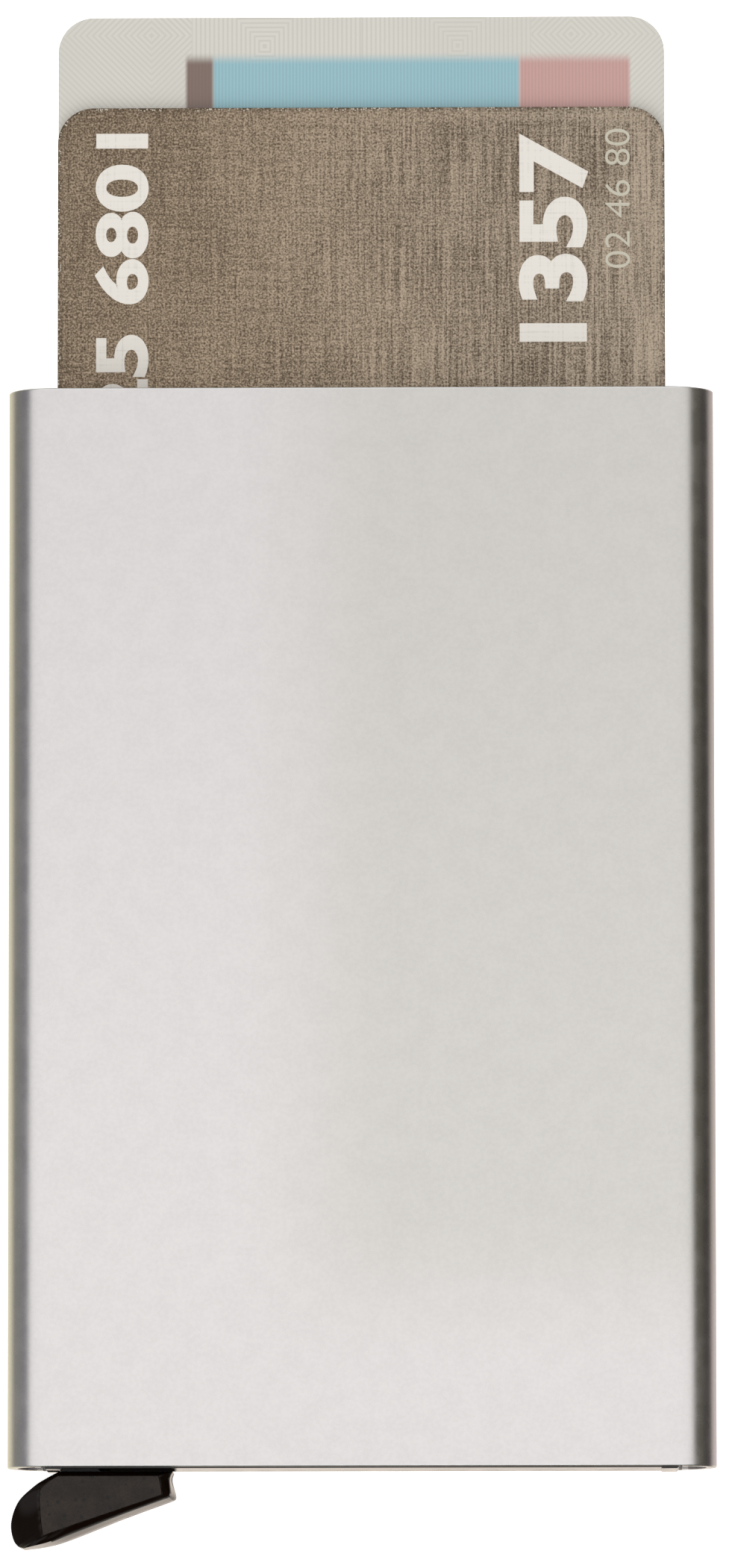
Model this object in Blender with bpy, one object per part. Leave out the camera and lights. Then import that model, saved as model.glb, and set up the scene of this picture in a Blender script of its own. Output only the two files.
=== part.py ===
"""Aluminium card holder: an extruded sleeve, a corner lever that turns a stepped ejector, and two cards.

The holder lies on its back. X runs to the right, Y towards the card mouth, Z up out of the front face.
The origin is the middle of the sleeve's back face. Lengths are in metres, angles in degrees.
Everything stands as it does with the lever pushed home and the cards fanned out.
"""

import math

import bmesh
import bpy
from mathutils import Matrix, Vector

# Cards of the common bank-card size
CARD_WIDTH = 0.05398
CARD_LENGTH = 0.08560
CARD_THICKNESS = 0.00076
CARD_CORNER_RADIUS = 0.00318
CARD_SIDE_CLEARANCE = 0.00116
CARD_FACE_GAP = 0.00015
REAR_CARD_RISE = 0.0341
FRONT_CARD_RISE = 0.0258
CHIP_WIDTH = 0.0126
CHIP_LENGTH = 0.0114
CHIP_CORNER_RADIUS = 0.0015
CHIP_THICKNESS = 0.0003
CHIP_FROM_CARD_END = 0.01506
CHIP_FROM_CARD_SIDE = 0.0239
CHIP_GAP = 0.0001

# Sleeve: an extrusion with round sides and a slotted channel down each of them
BAY_DEPTH = 0.0064
WALL = 0.0008
SIDE_WALL = 0.0009
SIDE_RAIL = 0.00305
LIP_THICKNESS = 0.00055
LIP_HEIGHT = 0.0011
MECHANISM_DEPTH = 0.0098
END_CHAMFER = 0.0002

# End plate that closes the bay and carries the pivot
PLATE_THICKNESS = 0.0012
PLATE_PROUD = 0.0001
PLATE_FIT = 0.00015
PLATE_CHAMFER = 0.0003
FOOT_WIDTH = 0.0016
FOOT_PROUD = 0.0001
EAR_THICKNESS = 0.0005
EAR_BACK = 0.0010
EAR_FRONT = 0.0017
EAR_TOP = 0.0018
EAR_RECESS = 0.0004
PLUG_LENGTH = 0.0046
PLUG_THICKNESS = 0.0009

# Pivot, ejector and lever
PIVOT_INSET = 0.0029
PIVOT_RISE = 0.0026
PIVOT_PIN_RADIUS = 0.0006
HUB_RADIUS = 0.00145
HUB_HEIGHT = 0.0025
HUB_SIDE_GAP = 0.00025
PIN_CLEARANCE = 0.00005
LEVER_SWING = 42.0
FINGER_GAP = 0.0003
FINGER_START = 0.0029
FINGER_ROOT_TOP = 0.0009
NOSE_DEPTH = 0.0022
NOSE_SET_BACK = 0.0004
FAN_FACE_GAP = 0.0003
TANG_WIDTH = 0.0034
TANG_INSET = 0.0049
TANG_DEPTH = 0.0032
TANG_FIT = 0.00015
LEVER_THICKNESS = 0.0050
LEVER_GAP = 0.00035
LEVER_BEVEL_SHARE = 0.7
LEVER_BACK_BEVEL = 0.00025
CROSS_PIN_RADIUS = 0.0005
CROSS_PIN_LENGTH = 0.0043
CROSS_PIN_INSET = 0.0066
CROSS_PIN_DROP = 0.0019

# Grip strips in the side channels and the foam behind them
GRIP_FACE_GAP = 0.00021
GRIP_WEB_FIT = 0.00015
GRIP_FLANGE_GAP = 0.0001
GRIP_FLANGE_THICKNESS = 0.0004
GRIP_FLANGE_GRIP = 0.00015
GRIP_MOUTH_RECESS = 0.0015
GRIP_FOOT_GAP = 0.0022
FOAM_GAP = 0.0001
FOAM_THICKNESS = 0.00055
FOAM_HEIGHT = 0.0026

# Smoothness
SIDE_STEPS = 16
ROUND_STEPS = 32
CORNER_STEPS = 6
CAM_STEPS = 10
RUN_STEPS = 4
BEVEL_STEPS = 4

BAY_HALF = CARD_WIDTH / 2 + CARD_SIDE_CLEARANCE
HALF_WIDTH = BAY_HALF + SIDE_RAIL
HOUSING_LENGTH = CARD_LENGTH + MECHANISM_DEPTH
THICKNESS = BAY_DEPTH + 2 * WALL
MIDDLE = THICKNESS / 2
BOTTOM = -HOUSING_LENGTH / 2
MOUTH = HOUSING_LENGTH / 2
LEFT = -HALF_WIDTH
LIP_OUTER = BAY_HALF + LIP_THICKNESS
SLOT_HALF = BAY_DEPTH / 2 - LIP_HEIGHT
CHANNEL_RADIUS = MIDDLE - SIDE_WALL
CHANNEL_CENTRE = HALF_WIDTH - MIDDLE
PIVOT = Vector((LEFT + PIVOT_INSET, BOTTOM + PIVOT_RISE, MIDDLE))
EAR_INNER = HUB_HEIGHT / 2 + HUB_SIDE_GAP
EAR_OUTER = EAR_INNER + EAR_THICKNESS
SWING = math.radians(LEVER_SWING)

# Heights between the ejector's fingers, back to front. The longest finger lifts the rear card.
REAR_CARD_Z = WALL + CARD_FACE_GAP
FRONT_CARD_Z = REAR_CARD_Z + CARD_THICKNESS + 2 * CARD_FACE_GAP
FINGER_EDGES = (
    WALL + FAN_FACE_GAP,
    REAR_CARD_Z + CARD_THICKNESS + CARD_FACE_GAP,
    FRONT_CARD_Z + CARD_THICKNESS + CARD_FACE_GAP,
    (FRONT_CARD_Z + CARD_THICKNESS + CARD_FACE_GAP + THICKNESS - WALL - FAN_FACE_GAP) / 2,
    THICKNESS - WALL - FAN_FACE_GAP,
)
FINGER_RISES = (REAR_CARD_RISE, FRONT_CARD_RISE, REAR_CARD_RISE / 2, REAR_CARD_RISE / 4)

# The lever's outline in the photograph, in millimetres from the sleeve's lower left corner: each run has its
# outer edge and, point for point, the edge of the flat panel inside the bevel and how far the back stands out
MILLIMETRE = 0.001
LEVER_TOP_EDGE = ((14.6, 0.0), (4.6, 0.0))
LEVER_TOP_PANEL = ((13.4, -0.4), (4.5, -0.4))
LEVER_FLANK_EDGE = (
    (4.6, 0.0),
    (3.45, -0.62),
    (2.4, -1.30),
    (1.0, -2.65),
    (0.33, -4.5),
    (0.62, -6.1),
    (1.45, -6.7),
)
LEVER_FLANK_PANEL = (
    (4.5, -0.4),
    (3.75, -0.85),
    (3.2, -1.3),
    (2.87, -1.95),
    (2.95, -3.55),
    (3.05, -4.65),
    (3.2, -5.62),
)
LEVER_LOWER_EDGE = ((1.45, -6.7), (3.67, -6.18), (5.83, -5.28), (10.15, -3.65), (14.05, -2.25))
LEVER_LOWER_PANEL = ((3.2, -5.62), (5.0, -4.99), (6.6, -4.43), (10.2, -3.22), (13.5, -2.1))
LEVER_END_EDGE = ((14.05, -2.25), (14.35, -1.95), (14.3, -0.65), (14.6, 0.0))
LEVER_END_PANEL = ((13.5, -2.1), (13.68, -1.93), (13.53, -0.95), (13.4, -0.4))
LEVER_LOWER_FLARE = ((0.0, 0.0), (0.06, -0.19), (0.11, -0.395), (0.18, -0.29), (0.28, -0.24))
LEVER_END_FLARE = ((0.28, -0.24), (0.45, -0.15), (0.15, 0.0), (0.0, 0.0))
LEVER_RUNS = (
    (LEVER_TOP_EDGE, LEVER_TOP_PANEL, ((0.0, 0.0),) * 2),
    (LEVER_FLANK_EDGE, LEVER_FLANK_PANEL, ((0.0, 0.0),) * 7),
    (LEVER_LOWER_EDGE, LEVER_LOWER_PANEL, LEVER_LOWER_FLARE),
    (LEVER_END_EDGE, LEVER_END_PANEL, LEVER_END_FLARE),
)


def clear_scene():
    for old in list(bpy.data.objects):
        bpy.data.objects.remove(old, do_unlink=True)


def material(name, colour, roughness, metallic=0.0):
    """A Principled material of one colour."""
    made = bpy.data.materials.new(name)
    made.use_nodes = True
    shader = made.node_tree.nodes["Principled BSDF"]
    shader.inputs["Base Color"].default_value = (*colour, 1.0)
    shader.inputs["Roughness"].default_value = roughness
    shader.inputs["Metallic"].default_value = metallic
    made.diffuse_color = (*colour, 1.0)
    return made


def arc(centre, radius, start, end, steps):
    """Points on a circle from one angle to another, in degrees."""
    points = []
    for i in range(steps + 1):
        angle = math.radians(start + (end - start) * i / steps)
        points.append((centre[0] + radius * math.cos(angle), centre[1] + radius * math.sin(angle)))
    return points


def circle(centre, radius):
    return arc(centre, radius, 0, 360, ROUND_STEPS)[:-1]


def rounded_rectangle(width, length, radius):
    """A rectangle about the origin with round corners."""
    x, y = width / 2 - radius, length / 2 - radius
    points = []
    for quarter, centre in enumerate(((x, y), (-x, y), (-x, -y), (x, -y))):
        points += arc(centre, radius, 90 * quarter, 90 * quarter + 90, CORNER_STEPS)
    return points


def rectangle(low, high):
    return [(low[0], low[1]), (high[0], low[1]), (high[0], high[1]), (low[0], high[1])]


def turned(points, angle):
    """Points turned about the origin by an angle in radians."""
    c, s = math.cos(angle), math.sin(angle)
    return [(x * c - y * s, x * s + y * c) for x, y in points]


def smooth_run(points, steps):
    """A Catmull-Rom curve through the points, without its last point."""
    if len(points) == 2:
        (x0, y0), (x1, y1) = points
        return [(x0 + (x1 - x0) * i / steps, y0 + (y1 - y0) * i / steps) for i in range(steps)]
    knots = [points[0], *points, points[-1]]
    curve = []
    for a, b, c, d in zip(knots, knots[1:], knots[2:], knots[3:]):
        for i in range(steps):
            t = i / steps
            curve.append(
                tuple(
                    0.5 * (2 * q + (r - p) * t + (2 * p - 5 * q + 4 * r - s) * t**2 + (3 * q - p - 3 * r + s) * t**3)
                    for p, q, r, s in zip(a, b, c, d)
                )
            )
    return curve


def add_object(name, shape, finish=None, location=(0, 0, 0), turn=0.0):
    """A mesh object made from a bmesh whose faces are turned outwards first."""
    bmesh.ops.recalc_face_normals(shape, faces=shape.faces)
    mesh = bpy.data.meshes.new(name)
    shape.to_mesh(mesh)
    shape.free()
    made = bpy.data.objects.new(name, mesh)
    bpy.context.scene.collection.objects.link(made)
    made.location = location
    made.rotation_euler = (0, 0, turn)
    if finish is not None:
        mesh.materials.append(finish)
        mesh.shade_smooth()
        mesh.set_sharp_from_angle(angle=math.radians(30))
    return made


def loft(rings):
    """A closed shape through rings of equally many points."""
    shape = bmesh.new()
    rows = [[shape.verts.new(point) for point in ring] for ring in rings]
    count = len(rows[0])
    for lower, upper in zip(rows, rows[1:]):
        for i in range(count):
            j = (i + 1) % count
            shape.faces.new((lower[i], lower[j], upper[j], upper[i]))
    shape.faces.new(rows[0])
    shape.faces.new(rows[-1])
    return shape


def upright(outline, low, high):
    """An outline in X and Y carried up from one height to another."""
    return loft([[(x, y, z) for x, y in outline] for z in (low, high)])


def lengthways(outline, low, high):
    """An outline in X and Z carried along Y."""
    return loft([[(x, y, z) for x, z in outline] for y in (low, high)])


def box(low, high):
    return upright(rectangle(low, high), low[2], high[2])


def helper(name, shape, parent=None):
    """A shape that only cuts or joins another and isn't a piece itself."""
    made = add_object(name, shape)
    made.hide_render = True
    made.display_type = "WIRE"
    if parent is not None:
        made.parent = parent
    return made


def combine(piece, operation, name, shape, parent=None):
    """A Boolean on a piece with a helper shape, which follows parent where one is given."""
    other = helper(name, shape, parent)
    modifier = piece.modifiers.new(name, "BOOLEAN")
    modifier.operation = operation
    modifier.solver = "EXACT"
    modifier.object = other
    return other


def stadium(inset):
    """The sleeve's outer outline in X and Z, drawn in by an inset."""
    radius = MIDDLE - inset
    right = arc((CHANNEL_CENTRE, MIDDLE), radius, -90, 90, SIDE_STEPS)
    left = arc((-CHANNEL_CENTRE, MIDDLE), radius, 90, 270, SIDE_STEPS)
    return right + left


def hollow_outline():
    """The bay and both slotted channels in X and Z, as one outline."""
    low, high = WALL, THICKNESS - WALL
    slot_low, slot_high = MIDDLE - SLOT_HALF, MIDDLE + SLOT_HALF
    reach = math.degrees(math.acos((LIP_OUTER - CHANNEL_CENTRE) / CHANNEL_RADIUS))
    right = [(BAY_HALF, low), (BAY_HALF, slot_low), (LIP_OUTER, slot_low)]
    right += arc((CHANNEL_CENTRE, MIDDLE), CHANNEL_RADIUS, -reach, reach, SIDE_STEPS)
    right += [(LIP_OUTER, slot_high), (BAY_HALF, slot_high), (BAY_HALF, high)]
    return right + [(-x, z) for x, z in reversed(right)]


def build_housing(finish):
    """The sleeve: outer skin with chamfered ends, hollowed along its whole length."""
    ends = ((BOTTOM, END_CHAMFER), (BOTTOM + END_CHAMFER, 0), (MOUTH - END_CHAMFER, 0), (MOUTH, END_CHAMFER))
    housing = add_object("housing", loft([[(x, y, z) for x, z in stadium(inset)] for y, inset in ends]), finish)
    beyond = 2 * MECHANISM_DEPTH
    combine(housing, "DIFFERENCE", "hollow_cutter", lengthways(hollow_outline(), BOTTOM - beyond, MOUTH + beyond))
    return housing


def build_bottom_plate(finish):
    """The end plate, with feet, two pivot ears at the left and a plug in the right channel."""
    half = BAY_HALF - PLATE_FIT
    outer = BOTTOM - PLATE_PROUD
    inner = outer + PLATE_THICKNESS
    low, high = WALL + PLATE_FIT, THICKNESS - WALL - PLATE_FIT
    outline = [
        (-half, outer - FOOT_PROUD + PLATE_CHAMFER),
        (-half + PLATE_CHAMFER, outer - FOOT_PROUD),
        (-half + FOOT_WIDTH, outer - FOOT_PROUD),
        (-half + FOOT_WIDTH + FOOT_PROUD, outer),
    ]
    outline += [(-x, y) for x, y in reversed(outline)]
    outline += [(half, inner), (-half, inner)]
    plate = add_object("bottom_plate", upright(outline, low, high), finish)

    ear_low = (PIVOT.x - EAR_BACK, BOTTOM + EAR_RECESS, MIDDLE - EAR_OUTER)
    ear_high = (PIVOT.x + EAR_FRONT, PIVOT.y + EAR_TOP, MIDDLE + EAR_OUTER)
    combine(plate, "UNION", "ear_block", box(ear_low, ear_high))
    plug_low = (half - PLUG_THICKNESS / 2, BOTTOM + EAR_RECESS, MIDDLE - SLOT_HALF + PLATE_FIT)
    plug_high = (half + PLUG_THICKNESS, BOTTOM + EAR_RECESS + PLUG_LENGTH, MIDDLE + SLOT_HALF - PLATE_FIT)
    combine(plate, "UNION", "plug_block", box(plug_low, plug_high))

    slot_low = (LEFT - HUB_RADIUS, BOTTOM - MECHANISM_DEPTH, MIDDLE - EAR_INNER)
    slot_high = (LEFT + TANG_INSET + TANG_WIDTH + 2 * LEVER_GAP, BOTTOM + MECHANISM_DEPTH, MIDDLE + EAR_INNER)
    combine(plate, "DIFFERENCE", "neck_slot", box(slot_low, slot_high))
    hole = upright(circle(PIVOT.xy, PIVOT_PIN_RADIUS + PIN_CLEARANCE), 0, THICKNESS)
    combine(plate, "DIFFERENCE", "pivot_hole", hole)
    return plate


def build_pivot_pin(finish):
    shape = upright(circle((0, 0), PIVOT_PIN_RADIUS), -EAR_OUTER, EAR_OUTER)
    return add_object("pivot_pin", shape, finish, PIVOT)


def finger_outline(rise):
    """One finger of the ejector about the pivot, as it lies with the cards put away.

    Its leading edge is the involute of a circle whose radius is the card's travel per radian, so the card
    rises evenly as the lever turns and the edge keeps one gap to it. Where the bay is too narrow for the
    whole curve, the finger ends on the largest circle that still turns inside the bay.
    """
    travel = rise / SWING
    start = MECHANISM_DEPTH - FINGER_GAP - PIVOT_RISE
    longest = BAY_HALF - FINGER_GAP - PIVOT.x
    last = min(SWING, (math.sqrt(longest**2 - travel**2) - start) / travel)
    edge = []
    for i in range(CAM_STEPS + 1):
        angle = last * i / CAM_STEPS
        edge += turned([(travel, start + travel * angle)], -angle)
    tip_x, tip_y = edge[-1]
    floor = -(PIVOT_RISE - PLATE_THICKNESS + PLATE_PROUD - LEVER_GAP)
    nose = (tip_x - NOSE_SET_BACK, max(tip_y - NOSE_DEPTH, floor))
    return [(FINGER_START, floor), nose, *reversed(edge), (FINGER_START, FINGER_ROOT_TOP)]


def neck_outline():
    """The hub and the neck that leads down to the tang, about the pivot, with the lever home."""
    left = LEFT + TANG_INSET - PIVOT.x
    down = -PIVOT_RISE - LEVER_GAP
    right_reach = math.hypot(left + TANG_WIDTH, down)
    right_side = math.degrees(math.atan2(down, left + TANG_WIDTH) + math.acos(HUB_RADIUS / right_reach))
    left_reach = math.hypot(left, down)
    left_side = math.degrees(math.atan2(down, left) - math.acos(HUB_RADIUS / left_reach))
    tang = [
        (left, down),
        (left, down - TANG_DEPTH + LEVER_GAP),
        (left + TANG_WIDTH, down - TANG_DEPTH + LEVER_GAP),
        (left + TANG_WIDTH, down),
    ]
    return arc((0, 0), HUB_RADIUS, right_side, left_side + 360, ROUND_STEPS) + tang


def root_outline():
    """The web from the hub into the fingers, about the pivot, with the cards put away."""
    reach = 3 * FINGER_START
    low = -(PIVOT_RISE - PLATE_THICKNESS + PLATE_PROUD - LEVER_GAP)
    return [(0, low), (reach, low / 2), (reach, 2 * FINGER_ROOT_TOP), (0, -low)]


def build_ejector(finish):
    """Four stacked fingers on one web, with the hub and a tang that carries the lever."""
    half = HUB_HEIGHT / 2
    overlap = CARD_FACE_GAP / 3
    ejector = add_object("ejector", upright(turned(neck_outline(), -SWING), -half, half), finish, PIVOT, SWING)
    combine(ejector, "UNION", "finger_web", upright(root_outline(), -half + overlap, half - overlap), ejector)
    layers = zip(FINGER_RISES, FINGER_EDGES, FINGER_EDGES[1:])
    for number, (rise, low, high) in enumerate(layers, start=1):
        below = overlap if number > 1 else 0
        shape = upright(finger_outline(rise), low - below - MIDDLE, high - MIDDLE)
        combine(ejector, "UNION", f"finger_{number}", shape, ejector)
    hole = upright(circle((0, 0), PIVOT_PIN_RADIUS + PIN_CLEARANCE), -MIDDLE, MIDDLE)
    combine(ejector, "DIFFERENCE", "hub_hole", hole, ejector)
    centre = turned([cross_pin_centre()], -SWING)[0]
    hole = upright(circle(centre, CROSS_PIN_RADIUS + PIN_CLEARANCE), -MIDDLE, MIDDLE)
    combine(ejector, "DIFFERENCE", "tang_hole", hole, ejector)
    return ejector


def cross_pin_centre():
    """The cross pin's centre about the pivot, with the lever home."""
    return (LEFT + CROSS_PIN_INSET - PIVOT.x, BOTTOM - CROSS_PIN_DROP - PIVOT.y)


def lever_rings():
    """Rings of the lever from its back to its front panel, about the pivot."""
    corner_x, corner_y = LEFT - PIVOT.x, BOTTOM - LEVER_GAP - PIVOT.y
    edge, panel, flare = [], [], []
    for edge_run, panel_run, flare_run in LEVER_RUNS:
        edge += smooth_run(edge_run, RUN_STEPS)
        panel += smooth_run(panel_run, RUN_STEPS)
        flare += smooth_run(flare_run, RUN_STEPS)
    place = Vector((corner_x, corner_y))
    edge = [Vector(point) * MILLIMETRE + place for point in edge]
    panel = [Vector(point) * MILLIMETRE + place for point in panel]
    back, front = -LEVER_THICKNESS / 2, LEVER_THICKNESS / 2
    wide = [e + Vector(f) * MILLIMETRE for e, f in zip(edge, flare)]
    drawn_in = [w + (p - w).normalized() * LEVER_BACK_BEVEL for w, p in zip(wide, panel)]
    rings = [[(*point, back) for point in drawn_in], [(*point, back + LEVER_BACK_BEVEL) for point in wide]]
    for i in range(BEVEL_STEPS + 1):
        angle = math.pi / 2 * i / BEVEL_STEPS
        ring = []
        for e, p in zip(edge, panel):
            drop = LEVER_BEVEL_SHARE * (p - e).length * (1 - math.sin(angle))
            ring.append((*e.lerp(p, 1 - math.cos(angle)), front - drop))
        rings.append(ring)
    return rings


def build_lever(finish):
    """The thumb lever, bevelled round a flat panel, with a pocket for the tang and a blind pin hole."""
    lever = add_object("lever", loft(lever_rings()), finish, PIVOT)
    left = LEFT + TANG_INSET - PIVOT.x
    bottom = -PIVOT_RISE - TANG_DEPTH
    half = HUB_HEIGHT / 2 + TANG_FIT
    pocket = box((left - TANG_FIT, bottom - TANG_FIT, -half), (left + TANG_WIDTH + TANG_FIT, 0, half))
    combine(lever, "DIFFERENCE", "tang_pocket", pocket, lever)
    back = -LEVER_THICKNESS / 2
    centre = cross_pin_centre()
    hole = upright(circle(centre, CROSS_PIN_RADIUS + PIN_CLEARANCE), 2 * back, back + CROSS_PIN_LENGTH + 2 * TANG_FIT)
    combine(lever, "DIFFERENCE", "cross_pin_hole", hole, lever)
    return lever


def build_lever_pin(finish, lever):
    """The cross pin, flush with the lever's back."""
    back = -LEVER_THICKNESS / 2 + TANG_FIT
    shape = upright(circle(cross_pin_centre(), CROSS_PIN_RADIUS), back, back + CROSS_PIN_LENGTH)
    pin = add_object("lever_pin", shape, finish)
    pin.parent = lever
    return pin


def card_shape():
    outline = rounded_rectangle(CARD_WIDTH, CARD_LENGTH, CARD_CORNER_RADIUS)
    return upright(outline, 0, CARD_THICKNESS)


def card_place(rise, height):
    """Where a card's middle stands at a given rise above its place with the cards put away."""
    return Vector((0, BOTTOM + MECHANISM_DEPTH + CARD_LENGTH / 2 + rise, height))


def build_front_card(finish):
    """The metal card, with a pocket for its contact chip near its inner end."""
    card = add_object("front_card", card_shape(), finish, card_place(FRONT_CARD_RISE, FRONT_CARD_Z))
    floor = CARD_THICKNESS - CHIP_THICKNESS - CHIP_GAP
    radius = CHIP_CORNER_RADIUS + CHIP_GAP
    outline = rounded_rectangle(CHIP_WIDTH + 2 * CHIP_GAP, CHIP_LENGTH + 2 * CHIP_GAP, radius)
    place = chip_place()
    outline = [(x + place[0], y + place[1]) for x, y in outline]
    combine(card, "DIFFERENCE", "chip_pocket", upright(outline, floor, 2 * CARD_THICKNESS), card)
    return card


def chip_place():
    """The chip's middle on its card, about the card's middle."""
    return (CHIP_FROM_CARD_SIDE - CARD_WIDTH / 2, CHIP_FROM_CARD_END - CARD_LENGTH / 2)


def build_card_chip(finish, card):
    shape = upright(rounded_rectangle(CHIP_WIDTH, CHIP_LENGTH, CHIP_CORNER_RADIUS), 0, CHIP_THICKNESS)
    chip = add_object("card_chip", shape, finish)
    chip.parent = card
    chip.location = (*chip_place(), CARD_THICKNESS - CHIP_THICKNESS)
    return chip


def build_rear_card(finish):
    return add_object("rear_card", card_shape(), finish, card_place(REAR_CARD_RISE, REAR_CARD_Z))


def build_grip(side, name, finish):
    """A grip strip with a T section: its web stands in the slot beside the card edges, its flange behind the lips."""
    face = CARD_WIDTH / 2 + GRIP_FACE_GAP
    flange = LIP_OUTER + GRIP_FLANGE_GAP
    web = SLOT_HALF - GRIP_WEB_FIT
    wide = SLOT_HALF + GRIP_FLANGE_GRIP
    half_section = [
        (face, web),
        (flange, web),
        (flange, wide),
        (flange + GRIP_FLANGE_THICKNESS, wide),
    ]
    section = half_section + [(x, -z) for x, z in reversed(half_section)]
    outline = [(side * x, MIDDLE + z) for x, z in section]
    low = BOTTOM + MECHANISM_DEPTH + GRIP_FOOT_GAP
    return add_object(name, lengthways(outline, low, MOUTH - GRIP_MOUTH_RECESS), finish)


def build_foam(side, name, finish):
    """The foam strip that presses a grip strip inwards."""
    near = LIP_OUTER + GRIP_FLANGE_GAP + GRIP_FLANGE_THICKNESS + FOAM_GAP
    ends = sorted((side * near, side * (near + FOAM_THICKNESS)))
    low = BOTTOM + MECHANISM_DEPTH + GRIP_FOOT_GAP
    corner_low = (ends[0], low, MIDDLE - FOAM_HEIGHT / 2)
    corner_high = (ends[1], MOUTH - GRIP_MOUTH_RECESS, MIDDLE + FOAM_HEIGHT / 2)
    return add_object(name, box(corner_low, corner_high), finish)


def least_finger_gap():
    """The least gap between a finger and the card it lifts, over the whole swing."""
    gaps = []
    for rise in FINGER_RISES[:2]:
        outline = finger_outline(rise)
        for step in range(int(LEVER_SWING) + 1):
            share = step / int(LEVER_SWING)
            top = max(y for _, y in turned(outline, SWING * share))
            gaps.append(MECHANISM_DEPTH - PIVOT_RISE + rise * share - top)
    return min(gaps), max(gaps)


def least_corner_gap():
    """The least gap between the swinging lever and the sleeve's lower left corner."""
    gaps = []
    outline = [Vector(point[:2]) for point in lever_rings()[1]]
    for step in range(int(LEVER_SWING) + 1):
        turn = Matrix.Rotation(-math.radians(step), 2)
        for point in outline:
            place = turn @ point + PIVOT.xy
            beside = LEFT - place.x
            below = BOTTOM - place.y
            gaps.append(math.hypot(max(beside, 0), max(below, 0)))
    return min(gaps)


def main():
    clear_scene()
    aluminium = material("satin_aluminium", (0.78, 0.77, 0.76), 0.38, 1.0)
    black = material("gloss_black", (0.012, 0.011, 0.010), 0.2)
    dark = material("dark_plastic", (0.03, 0.03, 0.03), 0.45)
    fan = material("ejector_plastic", (0.06, 0.06, 0.06), 0.5)
    steel = material("pin_steel", (0.6, 0.6, 0.6), 0.3, 1.0)
    felt = material("grip_strip", (0.05, 0.05, 0.05), 0.9)
    foam = material("foam", (0.1, 0.1, 0.1), 1.0)
    bronze = material("metal_card", (0.27, 0.22, 0.17), 0.45, 0.9)
    milky = material("plastic_card", (0.70, 0.69, 0.65), 0.35)
    gold = material("chip_contacts", (0.83, 0.66, 0.32), 0.3, 1.0)

    build_housing(aluminium)
    build_bottom_plate(dark)
    build_pivot_pin(steel)
    build_ejector(fan)
    lever = build_lever(black)
    build_lever_pin(steel, lever)
    card = build_front_card(bronze)
    build_card_chip(gold, card)
    build_rear_card(milky)
    for side, name in ((-1, "left"), (1, "right")):
        build_grip(side, f"grip_strip_{name}", felt)
        build_foam(side, f"foam_strip_{name}", foam)

    least, most = least_finger_gap()
    print(f"fingers stay {least * 1000:.2f} to {most * 1000:.2f} mm below the cards")
    print(f"lever stays {least_corner_gap() * 1000:.2f} mm from the sleeve's corner")


main()
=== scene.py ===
"""Looks of the aluminium card holder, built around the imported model.

The holder lies on its back: X to the right, Y towards the card mouth, Z out of the front face. Lengths are
in metres. The sleeve, the lever, the cards and their print are new surfaces, worked out with numpy. The plain
moulded and turned pieces inside keep the CAD form and have a finish of their own, and the end plate and the
ejector have broken edges too.
"""

import logging
import math
from collections.abc import Iterator
from contextlib import contextmanager
from dataclasses import dataclass, field
from enum import Enum

import bmesh
import bpy
import numpy as np
from mathutils import Matrix, Vector


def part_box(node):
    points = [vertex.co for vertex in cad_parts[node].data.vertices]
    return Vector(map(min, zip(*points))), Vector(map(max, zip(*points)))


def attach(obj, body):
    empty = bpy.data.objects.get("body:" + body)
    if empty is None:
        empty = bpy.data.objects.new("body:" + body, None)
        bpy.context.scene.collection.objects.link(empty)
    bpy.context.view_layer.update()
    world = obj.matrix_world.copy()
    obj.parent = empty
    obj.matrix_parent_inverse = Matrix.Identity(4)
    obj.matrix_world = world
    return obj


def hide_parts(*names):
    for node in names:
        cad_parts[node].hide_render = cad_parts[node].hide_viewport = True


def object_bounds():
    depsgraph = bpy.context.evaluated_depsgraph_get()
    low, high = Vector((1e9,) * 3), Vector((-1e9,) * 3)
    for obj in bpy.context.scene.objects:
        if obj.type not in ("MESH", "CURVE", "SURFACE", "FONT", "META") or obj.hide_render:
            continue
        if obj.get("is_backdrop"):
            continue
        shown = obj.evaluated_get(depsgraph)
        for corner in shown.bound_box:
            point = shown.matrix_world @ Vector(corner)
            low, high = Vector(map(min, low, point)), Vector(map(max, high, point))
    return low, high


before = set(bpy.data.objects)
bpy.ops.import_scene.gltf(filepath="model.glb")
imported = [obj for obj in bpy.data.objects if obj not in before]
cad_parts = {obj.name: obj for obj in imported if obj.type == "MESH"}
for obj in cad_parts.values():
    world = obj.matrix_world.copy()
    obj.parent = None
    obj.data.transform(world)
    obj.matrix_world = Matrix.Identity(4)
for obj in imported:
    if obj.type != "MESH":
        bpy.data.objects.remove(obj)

LOG = logging.getLogger("card_holder")
MILLIMETRE = 0.001
SHARP_FROM = math.radians(32)
DOWN = (1.0, 0.0)

Colour = tuple[float, float, float]
Pair = tuple[float, float]
Triple = tuple[float, float, float]
Outline = tuple[Pair, ...]
Row = tuple[np.ndarray, object, float]
Socket = bpy.types.NodeSocket
Node = bpy.types.Node
Material = bpy.types.Material


class Body(Enum):
    """The moving bodies of the holder, by the names that the record gives them."""

    SLEEVE = "sleeve"
    LEVER = "lever_and_ejector"
    FRONT_CARD = "front_card_body"
    REAR_CARD = "rear_card_body"


class Slot(Enum):
    """The record's material slots, one given with each new piece; nothing reads them."""

    ALUMINIUM = "satin_aluminium"
    LEVER = "gloss_black"
    PLATE = "dark_plastic"
    EJECTOR = "ejector_plastic"
    METAL_CARD = "metal_card"
    PLASTIC_CARD = "plastic_card"


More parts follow.
